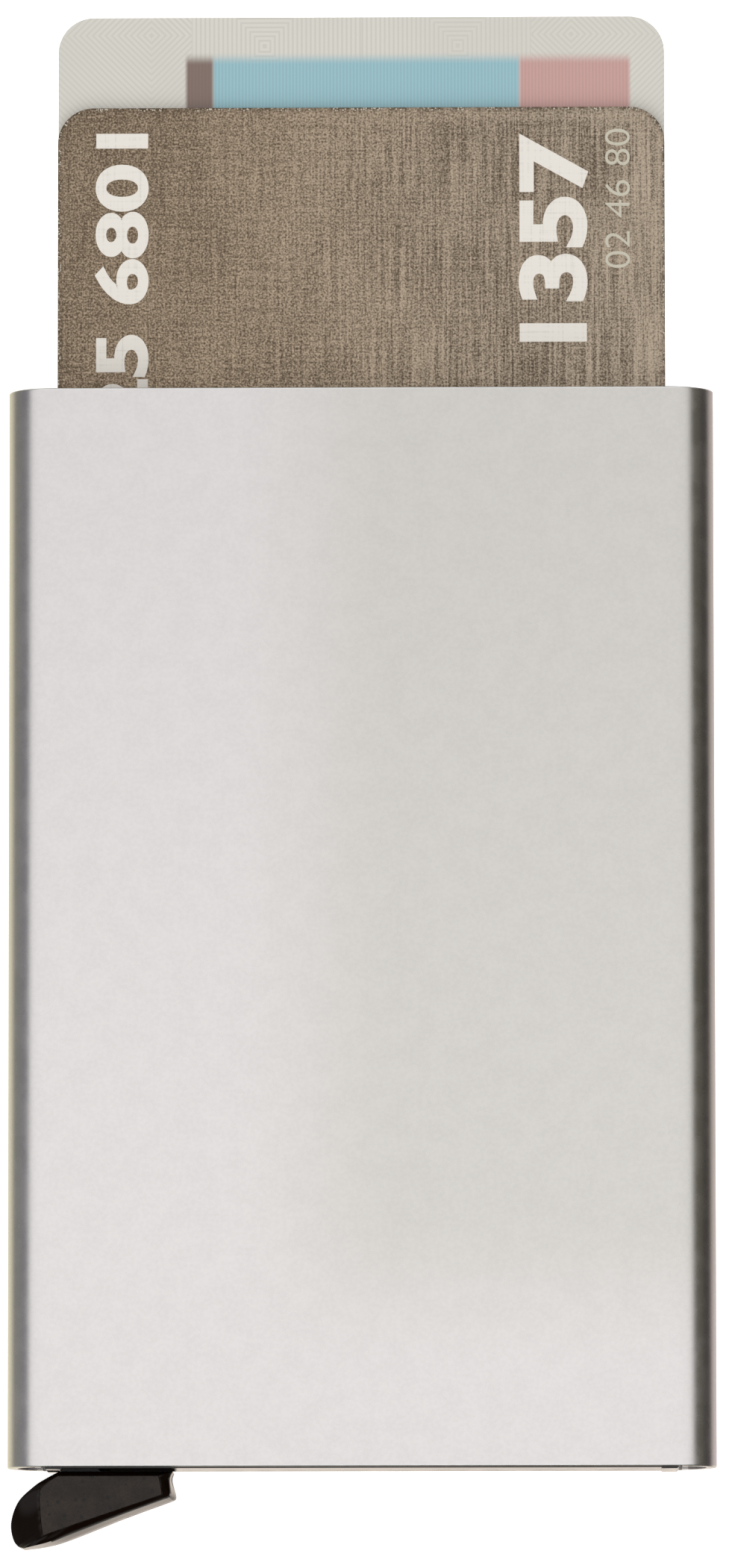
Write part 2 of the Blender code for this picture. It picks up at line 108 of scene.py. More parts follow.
def opaque(colour: object) -> object:
    """A colour with full alpha, or the socket as it is."""
    return colour if isinstance(colour, Socket) else (*colour, 1.0)


def scaled(colour: Colour, factor: float) -> Colour:
    """A colour made darker or lighter by a factor, up to white."""
    return tuple(min(1.0, part * factor) for part in colour)


class Graph:
    """Adds the nodes of one node tree and links them."""

    def __init__(self, tree: bpy.types.NodeTree) -> None:
        """Keeps the tree that the nodes go into."""
        self.tree = tree

    def node(self, kind: str, **settings: object) -> Node:
        """Adds a node.

        Args:
            kind: The node's type name in Blender.
            settings: Attributes to set on it.

        Returns:
            The new node.
        """
        made = self.tree.nodes.new(kind)
        for name, value in settings.items():
            setattr(made, name, value)
        return made

    def feed(self, target: Socket, value: object) -> None:
        """Links a socket into another, or sets a plain value on it.

        Args:
            target: The input socket.
            value: A socket, a number or a tuple.
        """
        if isinstance(value, Socket):
            self.tree.links.new(value, target)
        else:
            target.default_value = value

    def math(self, operation: str, first: object, second: object = 0.0, clamp: bool = False) -> Socket:
        """A Math node's value.

        Args:
            operation: Blender's name of the operation.
            first: Its first value or socket.
            second: Its second value or socket.
            clamp: Whether the result stays from 0 to 1.

        Returns:
            The output socket.
        """
        made = self.node("ShaderNodeMath", operation=operation, use_clamp=clamp)
        self.feed(made.inputs[0], first)
        self.feed(made.inputs[1], second)
        return made.outputs[0]

    def times(self, first: object, second: object) -> Socket:
        """The product of two values or sockets."""
        return self.math("MULTIPLY", first, second)

    def plus(self, first: object, second: object) -> Socket:
        """The sum of two values or sockets."""
        return self.math("ADD", first, second)

    def minus(self, first: object, second: object) -> Socket:
        """The first value or socket less the second."""
        return self.math("SUBTRACT", first, second)

    def size(self, value: object) -> Socket:
        """A value or socket without its sign."""
        return self.math("ABSOLUTE", value)

    def swing(self, noise: Socket, share: object) -> Socket:
        """A noise's way from 0.5, times a share."""
        return self.times(self.minus(noise, 0.5), share)

    def mix(self, factor: object, first: object, second: object, blend: str = "MIX") -> Socket:
        """Two colours mixed.

        Args:
            factor: How much of the second, from 0 to 1.
            first: A colour or socket.
            second: A colour or socket.
            blend: Blender's name of the way to mix.

        Returns:
            The mixed colour's socket.
        """
        made = self.node("ShaderNodeMix", data_type="RGBA", blend_type=blend)
        self.feed(made.inputs[0], factor)
        self.feed(made.inputs[6], opaque(first))
        self.feed(made.inputs[7], opaque(second))
        return made.outputs[2]

    def between(self, value: object, low: object, high: object, to: Pair = (0.0, 1.0)) -> Socket:
        """A smooth step of a value from one level to another.

        Args:
            value: What is stepped.
            low: Where the step starts.
            high: Where it ends.
            to: The results at its start and end.

        Returns:
            The output socket.
        """
        made = self.node("ShaderNodeMapRange", interpolation_type="SMOOTHSTEP", clamp=True)
        for socket, given in zip(made.inputs, (value, low, high, *to)):
            self.feed(socket, given)
        return made.outputs[0]

    def noise(self, place: object, scale: object, detail: float = 2.0, roughness: float = 0.5) -> Socket:
        """Noise about 0.5.

        Args:
            place: The coordinates' socket.
            scale: Blobs per metre.
            detail: Octaves.
            roughness: Share of the finer octaves.

        Returns:
            The output socket.
        """
        made = self.node("ShaderNodeTexNoise")
        self.feed(made.inputs["Vector"], place)
        self.feed(made.inputs["Scale"], scale)
        self.feed(made.inputs["Detail"], detail)
        self.feed(made.inputs["Roughness"], roughness)
        return made.outputs["Fac"]

    def cells(self, scale: object) -> Node:
        """Scattered cells on the piece's own coordinates.

        Args:
            scale: Cells per metre.

        Returns:
            The Voronoi node.
        """
        made = self.node("ShaderNodeTexVoronoi")
        self.feed(made.inputs["Vector"], self.place())
        self.feed(made.inputs["Scale"], scale)
        return made

    def streaks(self, scale: Triple, detail: float = 3.0, roughness: float = 0.5) -> Socket:
        """Noise on the piece's own coordinates, stretched into streaks.

        Args:
            scale: Blobs per metre along X, Y and Z.
            detail: Octaves.
            roughness: Share of the finer octaves.

        Returns:
            The output socket.
        """
        made = self.node("ShaderNodeMapping")
        self.feed(made.inputs["Vector"], self.place())
        made.inputs["Scale"].default_value = scale
        return self.noise(made.outputs["Vector"], 1.0, detail, roughness)

    def place(self) -> Socket:
        """Object coordinates, in metres."""
        return self.node("ShaderNodeTexCoord").outputs["Object"]

    def axes(self, place: object) -> tuple[Socket, Socket, Socket]:
        """Parts some coordinates.

        Args:
            place: The coordinates' socket.

        Returns:
            The sockets of X, Y and Z.
        """
        made = self.node("ShaderNodeSeparateXYZ")
        self.feed(made.inputs[0], place)
        return made.outputs[0], made.outputs[1], made.outputs[2]

    def bump(self, height: object, distance: float, strength: float) -> Socket:
        """A normal raised by a height.

        Args:
            height: The height's socket, from 0 to 1.
            distance: What a height of 1 stands for, in metres.
            strength: How much of it shows.

        Returns:
            The normal's socket.
        """
        made = self.node("ShaderNodeBump")
        for name, value in (("Distance", distance), ("Strength", strength), ("Height", height)):
            self.feed(made.inputs[name], value)
        return made.outputs["Normal"]


class SharedEffects:
    """Node groups that several finishes use, each built once."""

    COARSE_OCTAVES = 3.0
    BROKEN_STEP = (0.3, 0.6)

    def __init__(self) -> None:
        """Builds the groups."""
        self.grain = self._grain()
        self.wear = self._wear()
        self.dust = self._dust()

    @staticmethod
    def _new(name: str, inputs: dict[str, float], outputs: tuple[str, ...]) -> tuple[Graph, dict, dict]:
        """An empty group with its sockets.

        Args:
            name: The group's name.
            inputs: Each input's default.
            outputs: The outputs' names.

        Returns:
            The graph inside it, the sockets that its inputs give and the sockets that its outputs take.
        """
        tree = bpy.data.node_groups.new(name, "ShaderNodeTree")
        for label, default in inputs.items():
            socket = tree.interface.new_socket(label, in_out="INPUT", socket_type="NodeSocketFloat")
            socket.default_value = default
        for label in outputs:
            tree.interface.new_socket(label, in_out="OUTPUT", socket_type="NodeSocketFloat")
        graph = Graph(tree)
        given = graph.node("NodeGroupInput").outputs
        result = graph.node("NodeGroupOutput").inputs
        return graph, {label: given[label] for label in inputs}, {label: result[label] for label in outputs}

    def _grain(self) -> bpy.types.NodeTree:
        """Fine blasted or moulded grain: noise at two scales, as two masks.

        Returns:
            The group.
        """
        graph, given, result = self._new(
            "surface_grain", {"Fine Scale": 9000.0, "Coarse Scale": 400.0}, ("Fine", "Coarse")
        )
        place = graph.place()
        graph.feed(result["Fine"], graph.noise(place, given["Fine Scale"]))
        graph.feed(result["Coarse"], graph.noise(place, given["Coarse Scale"], self.COARSE_OCTAVES))
        return graph.tree

    def _wear(self) -> bpy.types.NodeTree:
        """Worn edges: the piece's own wear attribute, broken up by noise.

        Returns:
            The group.
        """
        graph, given, result = self._new("edge_wear", {"Amount": 1.0, "Break Up": 1500.0}, ("Mask",))
        worn = graph.node("ShaderNodeAttribute", attribute_name="wear").outputs["Fac"]
        noise = graph.noise(graph.place(), given["Break Up"], self.COARSE_OCTAVES)
        broken = graph.between(noise, *self.BROKEN_STEP)
        graph.feed(result["Mask"], graph.math("MULTIPLY", graph.times(worn, broken), given["Amount"], True))
        return graph.tree

    def _dust(self) -> bpy.types.NodeTree:
        """Sparse small specks: the cores of scattered cells, thinned out by each cell's own number.

        Returns:
            The group.
        """
        graph, given, result = self._new(
            "dust_specks", {"Scale": 300.0, "Size": 0.08, "Share": 0.1}, ("Mask",)
        )
        cells = graph.cells(given["Scale"])
        core = graph.math("LESS_THAN", cells.outputs["Distance"], given["Size"])
        number = graph.node("ShaderNodeSeparateColor")
        graph.feed(number.inputs[0], cells.outputs["Color"])
        chosen = graph.math("LESS_THAN", number.outputs[0], given["Share"])
        graph.feed(result["Mask"], graph.times(core, chosen))
        return graph.tree


class Surface(Graph):
    """The nodes of one material, with its shader and the shared effects at hand."""

    def __init__(self, material: Material, effects: SharedEffects) -> None:
        """Takes the material's tree and its Principled BSDF.

        Args:
            material: The material.
            effects: The shared node groups.
        """
        super().__init__(material.node_tree)
        self.shader = material.node_tree.nodes["Principled BSDF"]
        self.effects = effects

    def put(self, **values: object) -> None:
        """Feeds the shader.

        Args:
            values: A socket or a plain value for each of its inputs, named with underscores for spaces.
        """
        for name, value in values.items():
            self.feed(self.shader.inputs[name.replace("_", " ")], value)

    def effect(self, group: bpy.types.NodeTree, values: tuple) -> Node:
        """Places a shared effect.

        Args:
            group: Its node group.
            values: A plain number for each of its inputs, in order.

        Returns:
            The group's node.
        """
        made = self.node("ShaderNodeGroup", node_tree=group)
        for socket, value in zip(made.inputs, values):
            socket.default_value = value
        return made

    def grain(self, scales: Pair) -> tuple[Socket, Socket]:
        """The shared grain.

        Args:
            scales: Blobs per metre of its fine and its coarse noise.

        Returns:
            The fine mask and the coarse one.
        """
        made = self.effect(self.effects.grain, scales)
        return made.outputs["Fine"], made.outputs["Coarse"]

    def wear(self, amount: float, break_up: float) -> Socket:
        """The shared mask of worn edges, by its amount and by the blobs per metre that break it up."""
        return self.effect(self.effects.wear, (amount, break_up)).outputs["Mask"]

    def dust(self, scale: float, size: float, share: float) -> Socket:
        """The shared mask of specks, by cells per metre, a speck's size in its cell and the share shown."""
        return self.effect(self.effects.dust, (scale, size, share)).outputs["Mask"]


@dataclass(frozen=True)
class Finish:
    """One surface finish, which becomes one material.

    Its tones are factors of its colour at the low and the high end of a mask. Its bump is the height of a
    full mask in metres, and how much of it shows.
    """

    name: str
    colour: Colour
    roughness: float
    metallic: float = 0.0
    tone_step: Pair = (0.3, 0.7)
    tones: Pair = (1.0, 1.0)
    rough_step: Pair = (0.3, 0.7)
    rough_change: Pair = (0.0, 0.0)
    bump: Pair = (0.00001, 0.3)

    def build(self, effects: SharedEffects) -> Material:
        """Makes the material.

        Args:
            effects: The shared node groups.

        Returns:
            The material.
        """
        made = bpy.data.materials.new(self.name)
        made.use_nodes = True
        made.diffuse_color = opaque(self.colour)
        surface = Surface(made, effects)
        surface.put(Base_Color=opaque(self.colour), Roughness=self.roughness, Metallic=self.metallic)
        self.dress(surface)
        return made

    def ends(self) -> tuple[Colour, Colour]:
        """The finish's colour at its low and its high tone."""
        return scaled(self.colour, self.tones[0]), scaled(self.colour, self.tones[1])

    def toned(self, surface: Surface, mask: Socket) -> Socket:
        """The finish's colour, stepped from its low tone to its high one by a mask."""
        return surface.mix(surface.between(mask, *self.tone_step), *self.ends())

    def rough(self, surface: Surface, mask: Socket) -> Socket:
        """The finish's roughness, stepped from its low change to its high one by a mask."""
        low, high = (self.roughness + change for change in self.rough_change)
        return surface.between(mask, *self.rough_step, (low, high))

    def dress(self, surface: Surface) -> None:
        """Adds the finish's own detail to the shader.

        Args:
            surface: The material's nodes.
        """
        raise NotImplementedError


@dataclass(frozen=True)
class SatinAluminium(Finish):
    """Bead-blasted, clear anodised aluminium: fine grain, soft mottling, a few small marks and painted shade
    across the face.
    """

    tone_step: Pair = (0.32, 0.68)
    tones: Pair = (0.984, 1.016)
    rough_change: Pair = (-0.02, 0.03)
    grain_shade: Colour = (0.97, 0.97, 0.97)
    grain_step: Pair = (0.35, 0.65)
    grain_scales: Pair = (2600.0, 480.0)
    marks: Triple = (55.0, 0.018, 0.09)
    mark_strength: float = 0.45
    mark_colour: Colour = (0.3, 0.3, 0.3)
    wear: Pair = (0.6, 1500.0)
    worn_colour: Colour = (0.92, 0.91, 0.90)
    right_painted_shade: Colour = (0.887, 0.894, 0.856)
    right_across: Pair = (-0.0125, 0.004)
    right_along: Pair = (-0.040, -0.024)
    top_painted_shade: Colour = (0.915, 0.912, 0.914)
    top_along: Pair = (-0.035, 0.055)
    bump: Pair = (0.0000005, 0.4)

    def painted_shading(self, surface: Surface, base: Socket) -> Socket:
        """Painted shade, standing in for how the studio light falls: darker towards the mouth, and darker in
        the upper right.

        Args:
            surface: The material's nodes.
            base: The colour before the painted shade.

        Returns:
            The colour's socket.
        """
        across, along, _ = surface.axes(surface.place())
        rightwards = surface.times(
            surface.between(across, *self.right_across), surface.between(along, *self.right_along)
        )
        # Painted shade: darker in the upper right away from the bottom, then darker towards the mouth.
        base = surface.mix(rightwards, base, self.right_painted_shade, "MULTIPLY")
        return surface.mix(surface.between(along, *self.top_along), base, self.top_painted_shade, "MULTIPLY")

    def dress(self, surface: Surface) -> None:
        """Mottled colour and roughness, with a fine grain in the normal.

        Args:
            surface: The material's nodes.
        """
        fine, coarse = surface.grain(self.grain_scales)
        base = self.toned(surface, coarse)
        base = surface.mix(surface.between(fine, *self.grain_step), base, self.grain_shade, "MULTIPLY")
        # The face's painted shade goes in here, under the worn edges.
        base = surface.mix(surface.wear(*self.wear), self.painted_shading(surface, base), self.worn_colour)
        marked = surface.times(surface.dust(*self.marks), self.mark_strength)
        base = surface.mix(marked, base, self.mark_colour)
        rough = self.rough(surface, coarse)
        surface.put(Base_Color=base, Roughness=rough, Normal=surface.bump(fine, *self.bump))


@dataclass(frozen=True)
class MachinedAluminium(Finish):
    """The sawn and milled ends of the sleeve: brighter, with fine cutter lines."""

    cutter_lines: Triple = (300.0, 9000.0, 9000.0)
    octaves: float = 2.0
    tone_step: Pair = (0.12, 0.4)
    tones: Pair = (0.86, 1.0)
    grain_scales: Pair = (7000.0, 900.0)
    bump: Pair = (0.000006, 0.4)

    def dress(self, surface: Surface) -> None:
        """Lines across the wall, from noise stretched along it.

        Args:
            surface: The material's nodes.
        """
        lines = surface.streaks(self.cutter_lines, self.octaves)
        _, coarse = surface.grain(self.grain_scales)
        base = self.toned(surface, surface.times(lines, coarse))
        surface.put(Base_Color=base, Normal=surface.bump(lines, *self.bump))


@dataclass(frozen=True)
class GlossPlastic(Finish):
    """Polished black moulding, with a trace of dust and fine handling haze."""

    specular: float = 0.5
    rough_step: Pair = (0.35, 0.75)
    rough_change: Pair = (0.0, 0.07)
    grain_scales: Pair = (6000.0, 700.0)
    specks: Triple = (900.0, 0.07, 0.06)
    speck_strength: float = 0.5
    speck_colour: Colour = (0.16, 0.15, 0.14)
    wear: Pair = (0.35, 2500.0)
    worn_colour: Colour = (0.05, 0.047, 0.043)
    bump: Pair = (0.000004, 0.3)

    def dress(self, surface: Surface) -> None:
        """Haze in the roughness and specks in the colour.

        Args:
            surface: The material's nodes.
        """
        _, coarse = surface.grain(self.grain_scales)
        specks = surface.times(surface.dust(*self.specks), self.speck_strength)
        base = surface.mix(specks, self.colour, self.speck_colour)
        base = surface.mix(surface.wear(*self.wear), base, self.worn_colour)
        haze = self.rough(surface, coarse)
        normal = surface.bump(coarse, *self.bump)
        surface.put(Base_Color=base, Roughness=haze, Specular_IOR_Level=self.specular, Normal=normal)


@dataclass(frozen=True)
class MattPanel(Finish):
    """The lever's flat: satin dark plastic with small dark pits and soft smudges."""

    specular: float = 0.5
    tones: Pair = (0.5, 1.25)
    rough_change: Pair = (-0.05, 0.08)
    grain_scales: Pair = (8000.0, 500.0)
    grain_step: Pair = (0.3, 0.7)
    grain_shade: Colour = (0.6, 0.6, 0.6)
    pits: Triple = (1300.0, 0.24, 0.4)
    pit_strength: float = 0.7
    pit_colour: Colour = (0.004, 0.004, 0.004)
    bump: Pair = (0.000006, 0.6)

    def dress(self, surface: Surface) -> None:
        """Smudged colour, pits and a fine moulded grain.

        Args:
            surface: The material's nodes.
        """
        fine, coarse = surface.grain(self.grain_scales)
        base = self.toned(surface, coarse)
        base = surface.mix(surface.between(fine, *self.grain_step), base, self.grain_shade, "MULTIPLY")
        base = surface.mix(surface.times(surface.dust(*self.pits), self.pit_strength), base, self.pit_colour)
        rough = self.rough(surface, fine)
        normal = surface.bump(fine, *self.bump)
        surface.put(Base_Color=base, Roughness=rough, Specular_IOR_Level=self.specular, Normal=normal)


@dataclass(frozen=True)
class MouldedPlastic(Finish):
    """Plain black moulding of an inner piece, spark-eroded matt."""

    tone_step: Pair = (0.35, 0.7)
    tones: Pair = (1.0, 1.5)
    grain_scales: Pair = (6500.0, 350.0)
    wear: Pair = (0.5, 2000.0)
    worn_colour: Colour = (0.12, 0.12, 0.12)
    bump: Pair = (0.00001, 0.5)

    def dress(self, surface: Surface) -> None:
        """Moulded texture in the normal and a little unevenness in the tone.

        Args:
            surface: The material's nodes.
        """
        fine, coarse = surface.grain(self.grain_scales)
        base = surface.mix(surface.wear(*self.wear), self.toned(surface, coarse), self.worn_colour)
        surface.put(Base_Color=base, Normal=surface.bump(fine, *self.bump))


@dataclass(frozen=True)
class TurnedSteel(Finish):
    """A ground steel pin: fine lines round its axis."""

    grinding: Triple = (300.0, 300.0, 16000.0)
    tones: Pair = (0.75, 1.0)
    bump: Pair = (0.000004, 0.4)

    def dress(self, surface: Surface) -> None:
        """Lines that change with the height along the pin.

        Args:
            surface: The material's nodes.
        """
        lines = surface.streaks(self.grinding)
        surface.put(Base_Color=surface.mix(lines, *self.ends()), Normal=surface.bump(lines, *self.bump))


@dataclass(frozen=True)
class Pile(Finish):
    """Short dense pile on the grip strips."""

    upright: Triple = (9000.0, 9000.0, 1500.0)
    lying: Triple = (9000.0, 2500.0, 9000.0)
    tone_step: Pair = (0.15, 0.4)
    tones: Pair = (1.0, 2.6)
    sheen: float = 0.4
    sheen_roughness: float = 0.5
    bump: Pair = (0.00006, 0.9)

    def dress(self, surface: Surface) -> None:
        """Fibres from two crossed stretched noises, with a soft sheen.

        Args:
            surface: The material's nodes.
        """
        fibres = surface.times(surface.streaks(self.upright), surface.streaks(self.lying))
        surface.put(Base_Color=self.toned(surface, fibres), Normal=surface.bump(fibres, *self.bump))
        surface.put(Sheen_Weight=self.sheen, Sheen_Roughness=self.sheen_roughness)


@dataclass(frozen=True)
class FoamRubber(Finish):
    """Open-cell foam behind the strips."""

    cells: float = 5000.0
    tone_step: Pair = (0.15, 0.6)
    tones: Pair = (0.3, 1.0)
    bump: Pair = (0.00005, 0.8)

    def dress(self, surface: Surface) -> None:
        """Cells with painted shade in their hollows: each cell darker towards its middle.

        Args:
            surface: The material's nodes.
        """
        # Painted shade: the cells' hollows are darker than their rims.
        hollow = surface.between(surface.cells(self.cells).outputs["Distance"], *self.tone_step)
        surface.put(Base_Color=surface.mix(hollow, *self.ends()), Normal=surface.bump(hollow, *self.bump))


@dataclass(frozen=True)
class BrushedCard(Finish):
    """Brown grey metal, brushed lengthways and crossways into a linen of fine lines, stained at its edges."""

    light: Colour = (0.54, 0.42, 0.30)
    dark: Colour = (0.105, 0.074, 0.047)
    right_tint: Colour = (0.94, 0.985, 1.05)
    right_step: Pair = (-0.022, 0.024)
    down: Triple = (4600.0, 110.0, 1.0)
    down_share: Pair = (0.95, 0.36)
    over: Triple = (160.0, 4200.0, 1.0)
    over_share: float = 0.38
    coarse_down: Triple = (1100.0, 18.0, 1.0)
    coarse_share: float = 0.10
    coarse_roughness: float = 0.6
    octaves: float = 4.0
    brush_roughness: float = 0.65
    grain_scales: Pair = (6200.0, 55.0)
    grain_share: float = 1.3
    stain_share: float = 0.34
    left_step: Pair = (-0.027, 0.0)
    left_stain: float = -0.13
    top_rim: Pair = (0.0720, 0.0724)
    right_rim: Pair = (0.0238, 0.0244)
    rim_share: float = 0.07
    tone_step: Pair = (-0.42, 0.42)
    rough_step: Pair = (0.2, 0.8)
    rough_change: Pair = (0.08, -0.04)
    wear: Pair = (0.8, 1300.0)
    worn_colour: Colour = (0.085, 0.058, 0.036)
    chips: Triple = (5600.0, 0.42, 0.6)
    chip_step: Pair = (0.25, 0.5)
    chip_colour: Colour = (0.60, 0.54, 0.45)
    bump: Pair = (0.00005, 0.5)

    def dress(self, surface: Surface) -> None:
        """Two crossed brushings of different weight, a grain, broad stains and bare metal at the worn edges.

        Args:
            surface: The material's nodes.
        """
        across, along, _ = surface.axes(surface.place())
        fine, coarse = surface.grain(self.grain_scales)
        worn = surface.wear(*self.wear)
        rightness = surface.between(across, *self.right_step)
        down_share = surface.plus(surface.times(rightness, self.down_share[0]), self.down_share[1])
        down, over = (
            surface.streaks(scale, self.octaves, self.brush_roughness) for scale in (self.down, self.over)
        )
        lines = surface.plus(surface.swing(down, down_share), surface.swing(over, self.over_share))
        coarse_down = surface.streaks(self.coarse_down, roughness=self.coarse_roughness)
        lines = surface.plus(lines, surface.swing(coarse_down, self.coarse_share))
        lines = surface.plus(lines, surface.swing(fine, self.grain_share))
        tone = surface.plus(lines, surface.swing(coarse, self.stain_share))
        tone = surface.plus(tone, surface.between(across, *self.left_step, (self.left_stain, 0.0)))
        rim = surface.math(
            "MAXIMUM", surface.between(along, *self.top_rim), surface.between(across, *self.right_rim)
        )
        tone = surface.plus(tone, surface.times(surface.times(rim, rightness), self.rim_share))
        level = surface.between(tone, *self.tone_step)
        base = surface.mix(level, self.dark, self.light)
        base = surface.mix(rightness, base, self.right_tint, "MULTIPLY")
        base = surface.mix(worn, base, self.worn_colour)
        chipped = surface.times(surface.dust(*self.chips), surface.between(worn, *self.chip_step))
        base = surface.mix(chipped, base, self.chip_colour)
        rough = self.rough(surface, level)
        surface.put(Base_Color=base, Roughness=rough, Normal=surface.bump(lines, *self.bump))


@dataclass(frozen=True)
class CardPrint(Finish):
    """Cream ink on the metal card, a little worn through."""

    down: Triple = (4600.0, 110.0, 1.0)
    over: Triple = (160.0, 4200.0, 1.0)
    tone_step: Pair = (0.10, 0.24)
    tones: Pair = (0.86, 1.0)
    bump: Pair = (0.000008, 0.3)

    def dress(self, surface: Surface) -> None:
        """Fine brushing that shows through the ink.

        Args:
            surface: The material's nodes.
        """
        brushed = surface.times(surface.streaks(self.down), surface.streaks(self.over))
        worn = surface.between(brushed, *self.tone_step)
        surface.put(Base_Color=surface.mix(worn, *self.ends()), Normal=surface.bump(worn, *self.bump))


@dataclass(frozen=True)
class MilkyCard(Finish):
    """Milky laminated plastic with fine nested lines and three soft colour fields."""

    field_ends: Pair = (0.0481, 0.0781)
    blue: tuple[Pair, Colour] = ((-0.0132, 0.0141), (0.25, 0.51, 0.59))
    pink: tuple[Pair, Colour] = ((0.0141, 0.0239), (0.58, 0.30, 0.275))
    brown: tuple[Pair, Colour] = ((-0.0156, -0.0132), (0.140, 0.066, 0.046))
    softness: float = 0.00022
    top_softness: float = 0.0006
    field_pitch: float = 0.00030
    field_step: Pair = (-0.3, 0.8)
    field_line: float = 1.14
    field_wash: float = 0.12
    line_pitch: float = 0.00040
    line_step: Pair = (-0.1, 0.7)
    line_ink: float = 0.88
    tones: Pair = (0.95, 1.0)
    coat: float = 0.35
    coat_roughness: float = 0.15
    outer_nest: Pair = (0.0187, 0.0802)
    inner_nest: Pair = (0.0086, 0.0792)
    nest_border: Pair = (0.0150, 0.0152)
    grain_scales: Pair = (3000.0, 120.0)
    specks: Triple = (260.0, 0.05, 0.12)
    speck_strength: float = 0.4
    speck_colour: Colour = (0.55, 0.50, 0.42)
    bump: Pair = (0.00001, 0.3)

    def window(self, surface: Surface, value: object, ends: Pair, soft: float) -> Socket:
        """1 between two soft ends and 0 outside them.

        Args:
            surface: The material's nodes.
            value: The coordinate's socket.
            ends: The window's ends.
            soft: How far to each side of an end the change reaches.

        Returns:
            The mask's socket.
        """
        rise = surface.between(value, ends[0] - soft, ends[0] + soft)
        return surface.times(rise, surface.between(value, ends[1] - soft, ends[1] + soft, DOWN))

    def nest(self, surface: Surface, centre: Pair, joined: str) -> Socket:
        """Fine lines nested about a centre at each side of the card's middle.

        The lines follow the sine of a distance: the larger of the ways along x and y for squares, and their
        sum over the square root of two for diamonds.

        Args:
            surface: The material's nodes.
            centre: The centre's distance from the card's middle and its Y.
            joined: MAXIMUM for squares or ADD for diamonds.

        Returns:
            The lines' mask.
        """
        across, along, _ = surface.axes(surface.place())
        aside = surface.size(surface.minus(surface.size(across), centre[0]))
        reach = surface.math(joined, aside, surface.size(surface.minus(along, centre[1])))
        pitch = self.line_pitch * (math.sqrt(2) if joined == "ADD" else 1.0)
        waves = surface.math("SINE", surface.times(reach, math.tau / pitch))
        return surface.between(waves, *self.line_step)

    def dress(self, surface: Surface) -> None:
        """Lines in two kinds of nest, the fields over them, and a soft clear coat.

        Args:
            surface: The material's nodes.
        """
        across, along, _ = surface.axes(surface.place())
        diamonds = self.nest(surface, self.outer_nest, "ADD")
        squares = self.nest(surface, self.inner_nest, "MAXIMUM")
        pattern = surface.mix(surface.between(surface.size(across), *self.nest_border), squares, diamonds)
        _, coarse = surface.grain(self.grain_scales)
        base = self.toned(surface, coarse)
        lined = surface.mix(pattern, base, scaled(self.colour, self.line_ink))
        specks = surface.times(surface.dust(*self.specks), self.speck_strength)
        lined = surface.mix(specks, lined, self.speck_colour)
        height = self.window(surface, along, self.field_ends, self.top_softness)
        waves = surface.math("SINE", surface.times(across, math.tau / self.field_pitch))
        fine = surface.between(waves, *self.field_step)
        for span, ink in (self.blue, self.pink, self.brown):
            tint = surface.mix(fine, ink, scaled(ink, self.field_line))
            tint = surface.mix(self.field_wash, tint, base)
            mask = surface.times(self.window(surface, across, span, self.softness), height)
            lined = surface.mix(mask, lined, tint)
        surface.put(Base_Color=lined, Normal=surface.bump(coarse, *self.bump))
        surface.put(Coat_Weight=self.coat, Coat_Roughness=self.coat_roughness)


@dataclass(frozen=True)
class ChipGold(Finish):
    """Gold plated contact pads, parted by fine dark lines."""

    pad: float = 0.0031
    tones: Pair = (0.8, 1.0)
    groove: Pair = (0.00004, 0.00010)
    groove_colour: Colour = (0.05, 0.04, 0.02)
    grain_scales: Pair = (8000.0, 900.0)
    bump: Pair = (0.00002, 0.6)

    def dress(self, surface: Surface) -> None:
        """Dark lines where a saw-tooth of X or Y turns over.

        Args:
            surface: The material's nodes.
        """
        across, along, _ = surface.axes(surface.place())
        turned = (surface.math("PINGPONG", value, self.pad / 2) for value in (across, along))
        groove = surface.math("MAXIMUM", *(surface.between(value, *self.groove, DOWN) for value in turned))
        _, coarse = surface.grain(self.grain_scales)
        base = surface.mix(groove, self.toned(surface, coarse), self.groove_colour)
        surface.put(Base_Color=base, Normal=surface.bump(groove, *self.bump))


def arc_points(centre: Pair, radius: float, start: float, end: float, steps: int) -> np.ndarray:
    """Points on a circle: centre plus radius times the cosine and sine of evenly spaced angles.

    Args:
        centre: The circle's middle.
        radius: Its radius.
        start: The first angle, in degrees.
        end: The last angle, in degrees.
        steps: How many steps lie between them.

    Returns:
        The points, one per row.
    """
    angles = np.radians(np.linspace(start, end, steps + 1))
    return np.array(centre) + radius * np.stack([np.cos(angles), np.sin(angles)], axis=1)


def quarter_turns(steps: int) -> np.ndarray:
    """Evenly spaced angles of a quarter turn, in radians."""
    return np.radians(np.linspace(0, 90, steps + 1))


def smooth_curve(knots: np.ndarray, steps: int) -> np.ndarray:
    """A Catmull-Rom curve through the knots, without its last point.

    Each stretch is half of (2 b + (c - a) t + (2 a - 5 b + 4 c - d) t^2 + (3 b - a - 3 c + d) t^3), where b
    and c are its ends and a and d the knots before and after. Two knots give a straight run.

    Args:
        knots: The points to pass through, one per row.
        steps: Points per stretch.

    Returns:
        The curve's points, one per row.
    """
    t = (np.arange(steps) / steps)[None, :, None]
    if len(knots) == 2:
        return (knots[0] + (knots[1] - knots[0]) * t[0]).reshape(-1, 2)
    padded = np.vstack([knots[:1], knots, knots[-1:]])
    a, b, c, d = (padded[i : len(padded) - 3 + i, None, :] for i in range(4))
    curve = 0.5 * (2 * b + (c - a) * t + (2 * a - 5 * b + 4 * c - d) * t**2 + (3 * b - a - 3 * c + d) * t**3)
    return curve.reshape(-1, 2)


